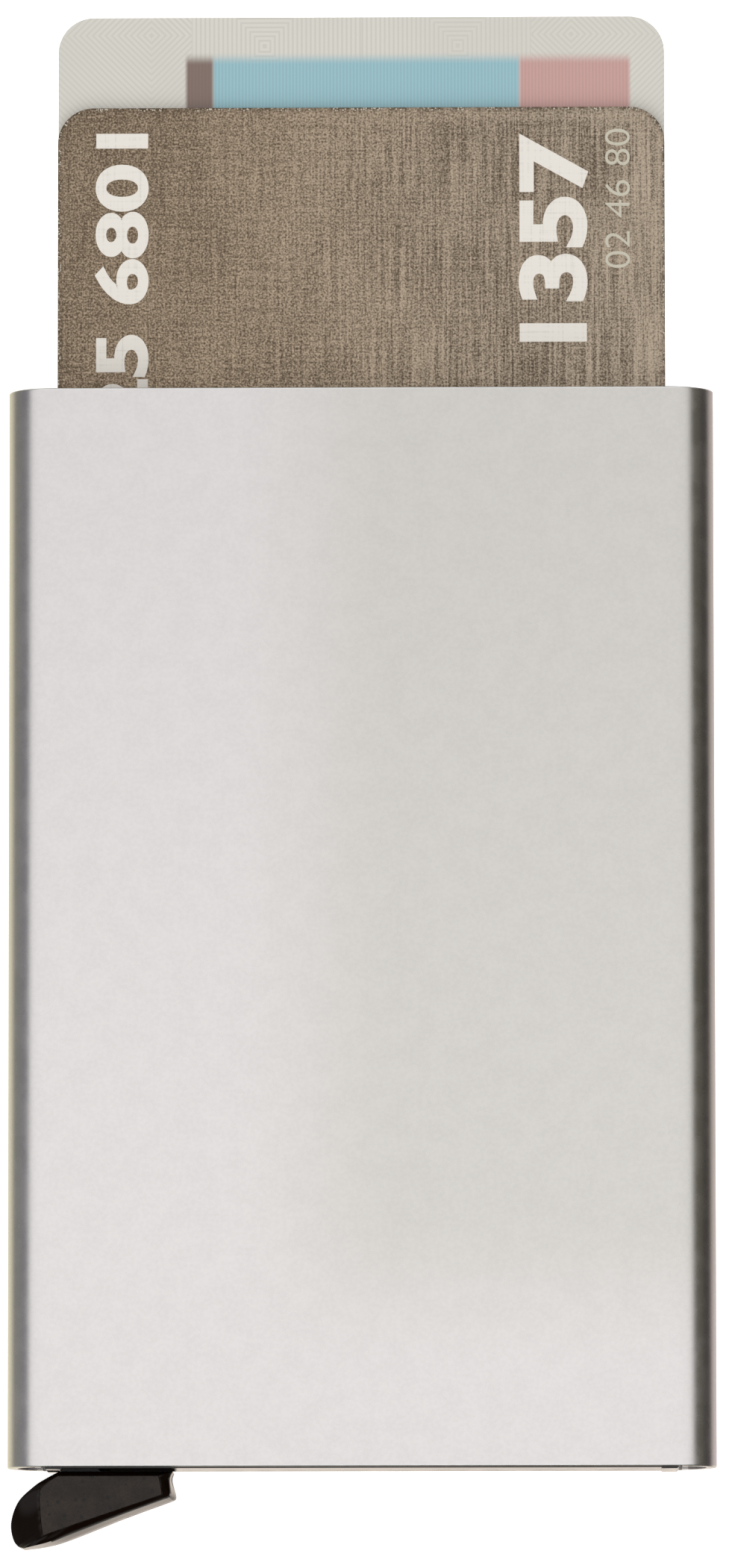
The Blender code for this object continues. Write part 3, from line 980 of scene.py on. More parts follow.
def stacked(rows: list[Row], axis: int) -> tuple[np.ndarray, np.ndarray]:
    """Flat outlines made rings by a height along the axis that they lack.

    Args:
        rows: Each ring's outline, its height or its points' heights, and how worn it is.
        axis: The axis of the height, 1 for Y and 2 for Z.

    Returns:
        Points by ring, by place in the ring and by axis, and each ring's wear.
    """
    rings = [np.insert(outline, axis, height, axis=1) for outline, height, _ in rows]
    return np.array(rings), np.array([worn for _, _, worn in rows])


def band_faces(rows: int, columns: int) -> np.ndarray:
    """Quads between neighbouring rings of a closed tube.

    Args:
        rows: How many rings there are.
        columns: How many points each ring has.

    Returns:
        The quads' corner numbers, one quad per row.
    """
    row, column = np.meshgrid(np.arange(rows - 1), np.arange(columns), indexing="ij")
    here = row * columns + column
    beside = row * columns + (column + 1) % columns
    return np.stack([here, beside, beside + columns, here + columns], axis=-1).reshape(-1, 4)


@contextmanager
def opened(mesh: bpy.types.Mesh) -> Iterator[bmesh.types.BMesh]:
    """Opens a mesh for changes and writes it back after them.

    Args:
        mesh: The mesh.

    Yields:
        Its faces and points, open for changes.
    """
    shape = bmesh.new()
    shape.from_mesh(mesh)
    yield shape
    shape.to_mesh(mesh)
    shape.free()


def linked(name: str, mesh: bpy.types.Mesh) -> bpy.types.Object:
    """Puts a mesh into the scene and reports it.

    Args:
        name: The piece's name.
        mesh: Its mesh.

    Returns:
        The object, at the origin.
    """
    made = bpy.data.objects.new(name, mesh)
    bpy.context.scene.collection.objects.link(made)
    LOG.info("%s: %d points, %d faces", name, len(mesh.vertices), len(mesh.polygons))
    return made


def new_object(
    name: str, points: np.ndarray, faces: list[list[int]], materials: list[Material], wear: np.ndarray
) -> bpy.types.Object:
    """A mesh object from points and faces, smooth but for its sharp edges.

    Args:
        name: The piece's name.
        points: Its points, one per row, in metres.
        faces: Corner numbers of each face.
        materials: Its materials.
        wear: How worn each point is, from 0 to 1.

    Returns:
        The object, at the origin.
    """
    mesh = bpy.data.meshes.new(name)
    mesh.from_pydata(points, [], faces)
    for material in materials:
        mesh.materials.append(material)
    with opened(mesh) as shape:
        bmesh.ops.recalc_face_normals(shape, faces=shape.faces)
    mesh.attributes.new("wear", "FLOAT", "POINT").data.foreach_set("value", wear.astype(np.float32))
    mesh.shade_smooth()
    mesh.set_sharp_from_angle(angle=SHARP_FROM)
    return linked(name, mesh)


def capped_loft(
    name: str, rings: np.ndarray, materials: list[Material], wear: np.ndarray
) -> bpy.types.Object:
    """A closed body through rings of equally many points, with a flat face at either end.

    Args:
        name: The piece's name.
        rings: Points by ring, by place in the ring and by axis.
        materials: Its materials. The last ring's cap takes the last of them.
        wear: How worn each ring is.

    Returns:
        The object.
    """
    rows, columns, _ = rings.shape
    faces = band_faces(rows, columns).tolist()
    faces.append(list(range(columns)))
    faces.append(list(range((rows - 1) * columns, rows * columns)))
    made = new_object(name, rings.reshape(-1, 3), faces, materials, np.repeat(wear, columns))
    made.data.polygons[len(faces) - 1].material_index = len(materials) - 1
    return made


def dress(made: bpy.types.Object, body: Body, slot: Slot, *nodes: str) -> None:
    """Puts a new piece on its body and in the place of CAD nodes.

    Args:
        made: The piece.
        body: The body that it moves with.
        slot: Not used.
        nodes: The CAD nodes that it stands for.
    """
    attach(made, body.value)
    if nodes:
        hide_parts(*nodes)


@dataclass
class Sleeve:
    """The extruded sleeve: full-round sides, a bay for the cards and a slotted channel down each side."""

    satin: Material
    machined: Material
    wall: float = 0.0008
    side_wall: float = 0.0009
    bay_half: float = 0.02815
    lip_thickness: float = 0.00055
    lip_height: float = 0.0011
    edge_radius: float = 0.00013
    end_wear: float = 0.3
    side_steps: int = 40
    edge_steps: int = 4
    flat_steps: int = 12
    flat_shares: Pair = (0.985, 0.995)
    corner_points: int = 5
    end_shares: Pair = (0.0025, 0.9975)
    run_shares: Pair = (0.03, 0.97)
    run_rings: int = 9
    thickness: float = field(init=False)
    middle: float = field(init=False)
    centre: float = field(init=False)
    bottom: float = field(init=False)
    mouth: float = field(init=False)

    def __post_init__(self) -> None:
        """Reads the sleeve's overall size from its CAD node."""
        low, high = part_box("housing")
        self.thickness = high[2] - low[2]
        self.middle = self.thickness / 2
        self.centre = high[0] - self.middle
        self.bottom = low[1]
        self.mouth = high[1]

    def flat(self, depth: float) -> np.ndarray:
        """Points across the flat at a depth, from its middle nearly to the side's centre.

        Args:
            depth: How far in front of the back they lie.

        Returns:
            The points, one per row.
        """
        dense, last = (self.centre * share for share in self.flat_shares)
        xs = np.append(np.linspace(0, dense, self.flat_steps), last)
        return np.stack([xs, np.full_like(xs, depth)], axis=1)

    def outer_quarter(self, inset: float) -> np.ndarray:
        """A quarter of the outer outline in X and Z, from the back's middle round to the right side's middle.

        The flat runs to the side's centre, and the side is a quarter circle whose radius is half the
        thickness less the inset.

        Args:
            inset: How far the outline is drawn in.

        Returns:
            The points, one per row.
        """
        side = arc_points((self.centre, self.middle), self.middle - inset, -90, 0, self.side_steps)
        return np.vstack([self.flat(inset), side])

    def inner_quarter(self) -> np.ndarray:
        """A quarter of the hollow, point for point with the outer quarter: bay wall, lip, then channel arc.

        Returns:
            The points, one per row.
        """
        radius = self.middle - self.side_wall
        lip_outer = self.bay_half + self.lip_thickness
        slot = self.wall + self.lip_height
        reach = math.degrees(math.acos((lip_outer - self.centre) / radius))
        last = np.linspace(self.centre, self.bay_half, self.corner_points)
        corner = np.stack([last, np.full_like(last, self.wall)], axis=1)
        lip = np.array([[self.bay_half, slot], [lip_outer, slot]])
        steps = self.side_steps + 1 - len(corner) - len(lip) - 1
        channel = arc_points((self.centre, self.middle), radius, -reach, 0, steps)
        return np.vstack([self.flat(self.wall), corner, lip, channel])

    def closed(self, quarter: np.ndarray) -> np.ndarray:
        """A quarter mirrored in Z and in X into a closed outline.

        Args:
            quarter: Points from the back's middle to the right side's middle.

        Returns:
            The whole outline, one point per row.
        """
        upper = quarter[-2::-1] * [1, -1] + [0, self.thickness]
        half = np.vstack([quarter, upper])
        left = half[-2:0:-1] * [-1, 1]
        return np.vstack([half, left])

    def rings(self) -> tuple[np.ndarray, np.ndarray]:
        """Rings down the hollow, round the bottom edge, up the outside and over the mouth's edge.

        At a turn of an edge's quarter circle the outline is drawn in by the radius times (1 - sine), and lies
        within the end by the radius times (1 - cosine).

        Returns:
            The rings and how worn each is.
        """
        edge = []
        for turn in quarter_turns(self.edge_steps):
            worn = 1 - math.sin(turn)
            outline = self.closed(self.outer_quarter(self.edge_radius * worn))
            edge.append((outline, self.edge_radius * (1 - math.cos(turn)), worn))
        hollow = self.closed(self.inner_quarter())
        outside = self.closed(self.outer_quarter(0))
        length = self.mouth - self.bottom
        shares = (self.end_shares[0], *np.linspace(*self.run_shares, self.run_rings), self.end_shares[1])
        rows = [(hollow, self.bottom, self.end_wear)]
        rows += [(outline, self.bottom + within, worn) for outline, within, worn in edge]
        rows += [(outside, self.bottom + length * share, 0.0) for share in shares]
        rows += [(outline, self.mouth - within, worn) for outline, within, worn in reversed(edge)]
        rows.append((hollow, self.mouth, self.end_wear))
        return stacked(rows, 1)

    def build(self) -> None:
        """Closes the rings into a tube with a hollow, whose ends take the machined finish."""
        rings, wear = self.rings()
        rows, columns, _ = rings.shape
        here = np.arange(columns)
        beside = (here + 1) % columns
        last = (rows - 1) * columns
        inside = np.stack([beside, here, here + last, beside + last], axis=1)
        faces = np.vstack([band_faces(rows, columns), inside]).tolist()
        points = rings.reshape(-1, 3)
        made = new_object("sleeve_body", points, faces, [self.satin, self.machined], np.repeat(wear, columns))
        index = np.zeros(len(faces), dtype=np.int32)
        index[: (self.edge_steps + 1) * columns] = 1
        index[(rows - 2 - self.edge_steps) * columns : last] = 1
        made.data.polygons.foreach_set("material_index", index)
        dress(made, Body.SLEEVE, Slot.ALUMINIUM, "housing")


@dataclass
class ThumbLever:
    """The thumb lever: a polished bevel round a matt flat panel, and a lower flank that flares to the back.

    Its outlines are in millimetres from the sleeve's lower left corner.
    """

    gloss: Material
    matt: Material
    gap: float = 0.00035
    back_edge: float = 0.00025
    back_steps: int = 3
    flank_shares: Pair = (0.25, 0.75)
    flank_rings: int = 3
    bevel_slope: float = 0.88
    bevel_power: float = 1.5
    bevel_steps: int = 12
    rim_share: float = 0.12
    rim_power: float = 6.0
    width_reach: int = 5
    panel_step: float = 0.00006
    panel_inset: float = 0.012
    run_steps: int = 10
    top_edge: Outline = ((14.6, 0.0), (4.6, 0.0))
    top_panel: Outline = ((13.4, -0.4), (4.5, -0.4))
    flank_edge: Outline = (
        (4.6, 0.0),
        (3.45, -0.62),
        (2.4, -1.30),
        (1.0, -2.65),
        (0.33, -4.5),
        (0.62, -6.1),
        (1.45, -6.7),
    )
    flank_panel: Outline = (
        (4.5, -0.4),
        (3.75, -0.85),
        (3.2, -1.3),
        (2.87, -1.95),
        (2.95, -3.55),
        (3.05, -4.65),
        (3.2, -5.62),
    )
    lower_edge: Outline = ((1.45, -6.7), (3.67, -6.18), (5.83, -5.28), (10.15, -3.65), (14.05, -2.25))
    lower_panel: Outline = ((3.2, -5.62), (5.0, -4.99), (6.6, -4.43), (10.2, -3.22), (13.5, -2.1))
    end_edge: Outline = ((14.05, -2.25), (14.35, -1.95), (14.3, -0.65), (14.6, 0.0))
    end_panel: Outline = ((13.5, -2.1), (13.68, -1.93), (13.53, -0.95), (13.4, -0.4))
    lower_flare: Outline = ((0.0, 0.0), (0.06, -0.19), (0.11, -0.395), (0.18, -0.29), (0.28, -0.24))
    end_flare: Outline = ((0.28, -0.24), (0.45, -0.15), (0.15, 0.0), (0.0, 0.0))

    def outlines(self) -> tuple[np.ndarray, np.ndarray, np.ndarray, np.ndarray]:
        """The outer edge, the panel's edge and the back's edge, point for point, and the bevel's width.

        The width at a point of the panel's edge is the way to the nearest point of the same side of the outer
        edge, averaged over its neighbours, so it changes gently round the corners.

        Returns:
            Three outlines in X and Y and the widths, in metres.
        """
        straight = ((0.0, 0.0),)
        runs = (
            (self.top_edge, self.top_panel, straight * len(self.top_edge)),
            (self.flank_edge, self.flank_panel, straight * len(self.flank_edge)),
            (self.lower_edge, self.lower_panel, self.lower_flare),
            (self.end_edge, self.end_panel, self.end_flare),
        )
        low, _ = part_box("housing")
        corner = np.array([low[0], low[1] - self.gap])
        edge, panel, flare = (
            [smooth_curve(np.array(run[part]), self.run_steps) * MILLIMETRE for run in runs]
            for part in range(3)
        )
        width = [np.linalg.norm(p[:, None] - e[None], axis=2).min(axis=1) for e, p in zip(edge, panel)]
        joined = np.concatenate(width)
        reach = np.arange(-self.width_reach, self.width_reach + 1)
        blended = joined[(np.arange(len(joined))[:, None] + reach) % len(joined)].mean(axis=1)
        outer = np.vstack(edge) + corner
        return outer, np.vstack(panel) + corner, outer + np.vstack(flare), blended

    def build(self) -> None:
        """Rings from the back's edge, out over the flank, up the bevel and down the panel's small step.

        The bevel's drop at a share s of the way in is its width times (slope (1 - s) + rim (1 - s)^power), so
        it is nearly a plane that leaves the panel at a clear angle, and it rolls over only close to its rim.
        """
        low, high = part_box("lever")
        back, front = low[2], high[2]
        edge, panel, wide, width = self.outlines()
        inwards = panel - wide
        drawn_in = wide + inwards / np.linalg.norm(inwards, axis=1, keepdims=True) * self.back_edge
        rows = []
        for turn in quarter_turns(self.back_steps):
            outline = drawn_in + (wide - drawn_in) * math.sin(turn)
            rows.append((outline, back + self.back_edge * (1 - math.cos(turn)), 0.0))
        foot = back + self.back_edge
        top = front - width * (self.bevel_slope + self.rim_share)
        for share in np.linspace(*self.flank_shares, self.flank_rings):
            rows.append((wide + (edge - wide) * share, foot + (top - foot) * share, 0.0))
        for s in np.linspace(0, 1, self.bevel_steps + 1) ** self.bevel_power:
            drop = width * (self.bevel_slope * (1 - s) + self.rim_share * (1 - s) ** self.rim_power)
            rows.append((edge + (panel - edge) * s, front - drop, 1.0 if s in (0.0, 1.0) else 0.0))
        inside = panel + (panel.mean(axis=0) - panel) * self.panel_inset
        rows.append((inside, front - self.panel_step, 0.0))
        rings, wear = stacked(rows, 2)
        made = capped_loft("thumb_lever", rings, [self.gloss, self.matt], wear)
        dress(made, Body.LEVER, Slot.LEVER, "lever")


@dataclass
class BankCard:
    """A card of the common size with round corners and lightly broken edges, in the place of its CAD node."""

    name: str
    node: str
    body: Body
    slot: Slot
    material: Material
    corner_radius: float = 0.00318
    edge_radius: float = 0.00009
    worn_width: float = 0.0005
    corner_steps: int = 12
    edge_steps: int = 3

    def outline(self, inset: float) -> np.ndarray:
        """The rounded rectangle, drawn in by an inset: four arcs whose centres stay where they are.

        Args:
            inset: How far the outline is drawn in.

        Returns:
            The points, one per row.
        """
        low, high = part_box(self.node)
        radius = self.corner_radius
        left, right = low[0] + radius, high[0] - radius
        bottom, top = low[1] + radius, high[1] - radius
        corners = ((right, top), (left, top), (left, bottom), (right, bottom))
        arcs = [
            arc_points(corner, radius - inset, 90 * quarter, 90 * quarter + 90, self.corner_steps)
            for quarter, corner in enumerate(corners)
        ]
        return np.vstack(arcs)

    def build(self) -> None:
        """Rings from the back face's edge round to the front face's edge, each edge a quarter circle."""
        low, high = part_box(self.node)
        edge = []
        for turn in quarter_turns(self.edge_steps):
            outline = self.outline(self.edge_radius * (1 - math.cos(turn)))
            edge.append((outline, self.edge_radius * (1 - math.sin(turn)), 1.0))
        edge.append((self.outline(self.worn_width), 0.0, 0.0))
        rows = [(outline, low[2] + within, worn) for outline, within, worn in reversed(edge)]
        rows += [(outline, high[2] - within, worn) for outline, within, worn in edge]
        rings, wear = stacked(rows, 2)
        made = capped_loft(self.name, rings, [self.material], wear)
        dress(made, self.body, self.slot, self.node)


@dataclass(frozen=True)
class Numerals:
    """One run of plain numerals, which reads up the card."""

    name: str
    digits: str
    left: float
    right: float
    from_top: float
    length: float
    weight: float
    faint: bool = False


@dataclass
class CardNumerals:
    """Plain generic numerals on the metal card, in cream and in thinner grey ink."""

    ink: Material
    faint_ink: Material
    node: str = "front_card"
    thickness: float = 0.00002
    sunk: float = 0.000002
    curve_steps: int = 8
    merged: float = 1e-5
    runs: tuple[Numerals, ...] = (
        Numerals("numerals_left", "25 6801", -0.0237, -0.0189, 0.0023, 0.0262, 0.030),
        Numerals("numerals_right", "1357", 0.0140, 0.0202, 0.0024, 0.0187, 0.034),
        Numerals("numerals_small", "02 46 80", 0.0217, 0.0239, 0.0020, 0.0125, -0.010, True),
    )

    def build(self) -> None:
        """Each run is set in Blender's own face, turned a quarter, and fitted to its place on the card."""
        for run in self.runs:
            mesh = self.face(run)
            self.fit(mesh, run)
            mesh.materials.clear()
            mesh.materials.append(self.faint_ink if run.faint else self.ink)
            mesh.shade_flat()
            dress(linked(run.name, mesh), Body.FRONT_CARD, Slot.METAL_CARD)

    def face(self, run: Numerals) -> bpy.types.Mesh:
        """Sets the digits as a closed mesh of height 1.

        Args:
            run: What it says.

        Returns:
            The mesh, still flat on X and Y and of the face's own size.
        """
        curve = bpy.data.curves.new(run.name, "FONT")
        curve.body = run.digits
        curve.size = 1.0
        curve.offset = run.weight
        curve.resolution_u = self.curve_steps
        holder = bpy.data.objects.new(run.name + "_curve", curve)
        bpy.context.scene.collection.objects.link(holder)
        bpy.context.view_layer.update()
        evaluated = holder.evaluated_get(bpy.context.evaluated_depsgraph_get())
        mesh = bpy.data.meshes.new_from_object(evaluated)
        bpy.data.objects.remove(holder, do_unlink=True)
        bpy.data.curves.remove(curve)
        with opened(mesh) as shape:
            bmesh.ops.remove_doubles(shape, verts=shape.verts, dist=self.merged)
            extruded = bmesh.ops.extrude_face_region(shape, geom=shape.faces[:])
            raised = [item for item in extruded["geom"] if isinstance(item, bmesh.types.BMVert)]
            bmesh.ops.translate(shape, verts=raised, vec=(0, 0, 1))
            bmesh.ops.recalc_face_normals(shape, faces=shape.faces)
        return mesh

    def fit(self, mesh: bpy.types.Mesh, run: Numerals) -> None:
        """Turns the digits a quarter and stretches them to the run's place on the card.

        Args:
            mesh: The digits.
            run: Where they stand.
        """
        _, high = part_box(self.node)
        points = np.empty(len(mesh.vertices) * 3, dtype=np.float32)
        mesh.vertices.foreach_get("co", points)
        points = points.reshape(-1, 3)
        low = points.min(axis=0)
        unit = (points - low) / (points.max(axis=0) - low)
        placed = np.empty_like(points)
        placed[:, 0] = run.right - unit[:, 1] * (run.right - run.left)
        placed[:, 1] = high[1] - run.from_top - run.length + unit[:, 0] * run.length
        placed[:, 2] = high[2] - self.sunk + unit[:, 2] * self.thickness
        mesh.vertices.foreach_set("co", placed.ravel())


@dataclass(frozen=True)
class BrokenEdges:
    """An inner piece in its CAD form, with its edges broken by a small bevel."""

    name: str
    node: str
    body: Body
    slot: Slot
    material: Material
    width: float
    segments: int = 2
    merged: float = 1e-6
    flat_below: float = math.radians(1)
    broken_from: float = math.radians(35)
    sharp_from: float = math.radians(40)

    def build(self) -> None:
        """Copies the CAD mesh, merges it, joins its flat triangles into faces and bevels what is sharp."""
        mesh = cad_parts[self.node].data.copy()
        mesh.name = self.name
        with opened(mesh) as shape:
            bmesh.ops.remove_doubles(shape, verts=shape.verts, dist=self.merged)
            every = {"verts": shape.verts, "edges": shape.edges}
            bmesh.ops.dissolve_limit(shape, angle_limit=self.flat_below, **every)
            bmesh.ops.recalc_face_normals(shape, faces=shape.faces)
        mesh.materials.clear()
        mesh.materials.append(self.material)
        made = linked(self.name, mesh)
        bevel = made.modifiers.new("broken_edges", "BEVEL")
        bevel.width = self.width
        bevel.segments = self.segments
        bevel.limit_method = "ANGLE"
        bevel.angle_limit = self.broken_from
        bevel.harden_normals = True
        mesh.shade_smooth()
        mesh.set_sharp_from_angle(angle=self.sharp_from)
        dress(made, self.body, self.slot, self.node)


@dataclass
class Studio:
    """A pale floor, a soft sky with darker sides, and the camera of the photograph."""

    camera_place: Triple = (0.01944, -0.11086, 1.17521)
    camera_aim: Triple = (0.00027, 0.01282, 0.004)
    camera_roll: float = -0.0528
    lens: float = 305.84
    sensor: float = 36.0
    clip: Pair = (0.01, 20.0)
    floor_size: float = 3.0
    floor_drop: float = 0.0002
    floor_colour: Colour = (0.9, 0.9, 0.9)
    floor_glow: float = 0.78
    floor_side: Pair = (-0.02, 0.02)
    near_side: Pair = (0.0015, 0.014)
    near_front: Pair = (0.0016, 0.0050)
    front_along: Pair = (-0.0480, -0.0474)
    front_across: Pair = (-0.0318, -0.0300)
    lever_pace: float = 1.6
    close_left: Colour = (0.86, 0.815, 0.60)
    close_right: Colour = (0.72, 0.64, 0.61)
    close_front: Colour = (0.95, 0.84, 0.74)
    far_left: Colour = (0.23, 0.23, 0.21)
    far_right: Colour = (0.05, 0.045, 0.042)
    under: Colour = (0.004, 0.003, 0.003)
    shade_half: float = 0.0285
    shade_end: float = -0.0475
    shade_softness: float = 0.0004
    lever_tip: Pair = (0.02975, 0.0546)
    lever_slope: float = 0.363
    lever_right: float = -0.0167
    flank_slope: float = 0.95
    flank_start: float = 0.0190
    sky_side: Pair = (-0.75, 0.75)
    sky_front: Pair = (-0.8, -0.35)
    sky_back: Pair = (0.35, 0.8)
    sky_edge: Pair = (0.32, 0.59)
    sky_lean: float = 0.062
    front_edge: float = 0.12
    side_left: Colour = (0.20, 0.20, 0.215)
    side_right: Colour = (0.092, 0.086, 0.066)
    front_end: Colour = (0.03, 0.028, 0.025)
    back_end: Colour = (0.50, 0.50, 0.50)
    overhead: Colour = (1.0, 1.0, 1.0)

    def build(self) -> None:
        """Builds the camera, the floor and the sky."""
        self.camera()
        self.floor()
        self.sky()

    def camera(self) -> None:
        """Aims a long lens at the holder, from the place that the photograph was taken from."""
        data = bpy.data.cameras.new("photo_camera")
        data.lens = self.lens
        data.sensor_width = self.sensor
        data.clip_start, data.clip_end = self.clip
        made = bpy.data.objects.new("photo_camera", data)
        bpy.context.scene.collection.objects.link(made)
        place = Vector(self.camera_place)
        forward = (Vector(self.camera_aim) - place).normalized()
        right = forward.cross(Vector((0, 1, 0))).normalized()
        turn = Matrix((right, right.cross(forward), -forward)).transposed().to_4x4()
        roll = Matrix.Rotation(math.radians(self.camera_roll), 4, "Z")
        made.matrix_world = Matrix.Translation(place) @ turn @ roll
        bpy.context.scene.camera = made

    def lever_line(self, graph: Graph, across: Socket) -> Socket:
        """The Y of the lever's lower edge: a straight line through its tip.

        Args:
            graph: The floor material's graph.
            across: The floor's X.

        Returns:
            The line's Y at that X.
        """
        rise = graph.times(graph.plus(across, self.lever_tip[0]), self.lever_slope)
        return graph.minus(rise, self.lever_tip[1])

    def before_lever(self, graph: Graph, across: Socket, along: Socket) -> Socket:
        """How far the floor lies in front of the lever, or of the sleeve's end to the right of it.

        Args:
            graph: The floor material's graph.
            across: The floor's X.
            along: The floor's Y.

        Returns:
            The distance in metres, negative under the part, and times the lever's pace in front of it.
        """
        lever = graph.between(across, self.lever_right, self.lever_right + self.shade_softness, DOWN)
        past_line = graph.times(graph.minus(self.lever_line(graph, across), along), self.lever_pace)
        past_end = graph.minus(self.shade_end, along)
        return graph.plus(graph.times(past_line, lever), graph.times(past_end, graph.minus(1.0, lever)))

    def covered(self, graph: Graph, across: Socket, along: Socket) -> Socket:
        """1 on the floor under the sleeve and under the lever, where no light gets in, and 0 elsewhere.

        Args:
            graph: The floor material's graph.
            across: The floor's X.
            along: The floor's Y.

        Returns:
            The mask's socket.
        """
        soft = self.shade_softness
        sleeve = graph.times(
            graph.between(graph.size(across), self.shade_half, self.shade_half + soft, DOWN),
            graph.between(along, self.shade_end - soft, self.shade_end),
        )
        shoulder = graph.plus(graph.times(along, self.flank_slope), self.flank_start)
        beside = graph.times(
            graph.between(across, self.lever_right, self.lever_right + soft, DOWN),
            graph.between(across, shoulder, graph.plus(shoulder, soft)),
        )
        beyond = graph.times(
            graph.between(graph.minus(along, self.lever_line(graph, across)), 0.0, soft),
            graph.between(along, self.shade_end, self.shade_end + 3 * soft, DOWN),
        )
        return graph.math("MAXIMUM", sleeve, graph.times(beside, beyond))

    def mirrored(self, graph: Graph) -> Socket:
        """What the part mirrors of the floor: bright close by, dark further out and nearly black under it.

        Args:
            graph: The floor material's graph.

        Returns:
            The colour's socket.
        """
        across, along, _ = graph.axes(graph.place())
        _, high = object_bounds()
        beside = graph.minus(graph.size(across), high[0])
        near = graph.times(
            graph.between(beside, *self.near_side, DOWN),
            graph.between(self.before_lever(graph, across, along), *self.near_front, DOWN),
        )
        in_front = graph.times(
            graph.between(along, *self.front_along, DOWN), graph.between(across, *self.front_across)
        )
        rightness = graph.between(across, *self.floor_side)
        close = graph.mix(in_front, graph.mix(rightness, self.close_left, self.close_right), self.close_front)
        far = graph.mix(rightness, self.far_left, self.far_right)
        return graph.mix(self.covered(graph, across, along), graph.mix(near, far, close), self.under)

    def floor(self) -> None:
        """A pale floor that glows a little, and shows its mirrored pattern to glossy rays only."""
        half = self.floor_size / 2
        corners = [(-half, -half), (half, -half), (half, half), (-half, half)]
        mesh = bpy.data.meshes.new("floor")
        mesh.from_pydata([(x, y, -self.floor_drop) for x, y in corners], [], [(0, 1, 2, 3)])
        linked("floor", mesh)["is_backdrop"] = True
        material = bpy.data.materials.new("pale_floor")
        material.use_nodes = True
        material.node_tree.nodes.clear()
        graph = Graph(material.node_tree)
        glossy = graph.node("ShaderNodeEmission")
        graph.feed(glossy.inputs["Color"], self.mirrored(graph))
        pale = graph.node("ShaderNodeBsdfDiffuse")
        pale.inputs["Color"].default_value = opaque(self.floor_colour)
        glow = graph.node("ShaderNodeEmission")
        glow.inputs["Strength"].default_value = self.floor_glow
        plain = graph.node("ShaderNodeAddShader")
        graph.feed(plain.inputs[0], pale.outputs[0])
        graph.feed(plain.inputs[1], glow.outputs[0])
        choice = graph.node("ShaderNodeMixShader")
        graph.feed(choice.inputs[0], graph.node("ShaderNodeLightPath").outputs["Is Glossy Ray"])
        graph.feed(choice.inputs[1], plain.outputs[0])
        graph.feed(choice.inputs[2], glossy.outputs[0])
        graph.feed(graph.node("ShaderNodeOutputMaterial").inputs["Surface"], choice.outputs[0])
        mesh.materials.append(material)

    def sky(self) -> None:
        """A white sky overhead that darkens towards the horizon, most at the right and the left."""
        world = bpy.data.worlds.new("studio")
        world.use_nodes = True
        world.node_tree.nodes.clear()
        graph = Graph(world.node_tree)
        x, y, z = graph.axes(graph.node("ShaderNodeTexCoord").outputs["Generated"])
        rightness = graph.between(x, *self.sky_side)
        frontness = graph.between(y, *self.sky_front, DOWN)
        lifted = graph.minus(z, graph.times(rightness, self.sky_lean))
        lifted = graph.plus(lifted, graph.times(frontness, self.front_edge))
        horizon = graph.mix(rightness, self.side_left, self.side_right)
        horizon = graph.mix(graph.between(y, *self.sky_back), horizon, self.back_end)
        horizon = graph.mix(frontness, horizon, self.front_end)
        background = graph.node("ShaderNodeBackground")
        colour = graph.mix(graph.between(lifted, *self.sky_edge), horizon, self.overhead)
        graph.feed(background.inputs["Color"], colour)
        graph.feed(graph.node("ShaderNodeOutputWorld").inputs["Surface"], background.outputs[0])
        bpy.context.scene.world = world


def paint_node(name: str, material: Material) -> None:
    """Gives a CAD node that stays in view a material of its own.

    Args:
        name: The node's name.
        material: Its material.
    """
    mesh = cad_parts[name].data
    mesh.materials.clear()
    mesh.materials.append(material)
    LOG.info("%s: finish %s", name, material.name)


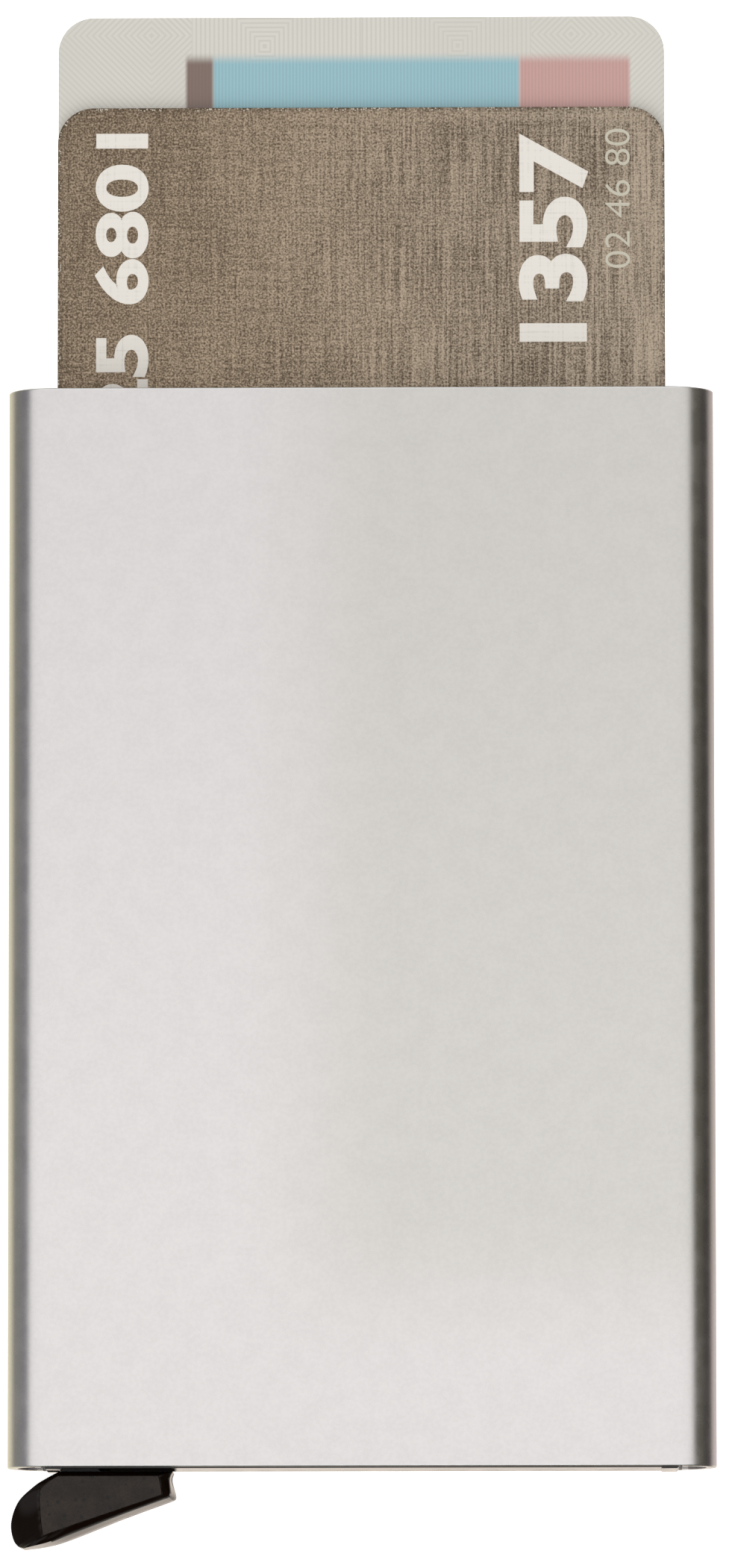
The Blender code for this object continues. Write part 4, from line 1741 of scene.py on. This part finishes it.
def main() -> None:
    """Builds the studio, the sleeve, the lever, the cards and the inner pieces."""
    logging.basicConfig(level=logging.INFO, format="%(name)s: %(message)s")
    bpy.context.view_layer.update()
    bpy.context.scene.view_settings.view_transform = "Standard"
    Studio().build()
    effects = SharedEffects()

    satin = SatinAluminium("satin_aluminium", (0.782, 0.753, 0.745), 0.27, 1.0).build(effects)
    machined = MachinedAluminium("machined_aluminium", (0.86, 0.855, 0.85), 0.28, 1.0).build(effects)
    gloss = GlossPlastic("lever_gloss", (0.0058, 0.0026, 0.0014), 0.07, specular=0.16).build(effects)
    matt = MattPanel("lever_panel", (0.026, 0.016, 0.010), 0.34, specular=0.3).build(effects)
    plate = GlossPlastic("plate_black", (0.018, 0.016, 0.014), 0.05).build(effects)
    moulded = MouldedPlastic("ejector_black", (0.035, 0.035, 0.035), 0.5).build(effects)
    steel = TurnedSteel("pin_steel", (0.62, 0.62, 0.62), 0.3, 1.0).build(effects)
    pile = Pile("strip_pile", (0.035, 0.035, 0.037), 0.95).build(effects)
    foam = FoamRubber("strip_foam", (0.09, 0.09, 0.09), 0.95).build(effects)
    brushed = BrushedCard("brushed_card", (0.27, 0.22, 0.17), 0.42, 0.9).build(effects)
    ink = CardPrint("cream_ink", (0.95, 0.90, 0.82), 0.5).build(effects)
    faint_ink = CardPrint("faint_ink", (0.66, 0.62, 0.50), 0.5).build(effects)
    milky = MilkyCard("milky_card", (0.79, 0.765, 0.69), 0.4).build(effects)
    gold = ChipGold("chip_gold", (0.83, 0.64, 0.30), 0.28, 1.0).build(effects)

    Sleeve(satin, machined).build()
    ThumbLever(gloss, matt).build()
    BankCard("metal_card", "front_card", Body.FRONT_CARD, Slot.METAL_CARD, brushed).build()
    BankCard("plastic_card", "rear_card", Body.REAR_CARD, Slot.PLASTIC_CARD, milky).build()
    CardNumerals(ink, faint_ink).build()
    BrokenEdges("end_plate", "bottom_plate", Body.SLEEVE, Slot.PLATE, plate, 0.00008).build()
    BrokenEdges("card_ejector", "ejector", Body.LEVER, Slot.EJECTOR, moulded, 0.00004).build()
    for side in ("left", "right"):
        paint_node(f"grip_strip_{side}", pile)
        paint_node(f"foam_strip_{side}", foam)
    paint_node("pivot_pin", steel)
    paint_node("lever_pin", steel)
    paint_node("card_chip", gold)


if __name__ == "__main__":
    main()
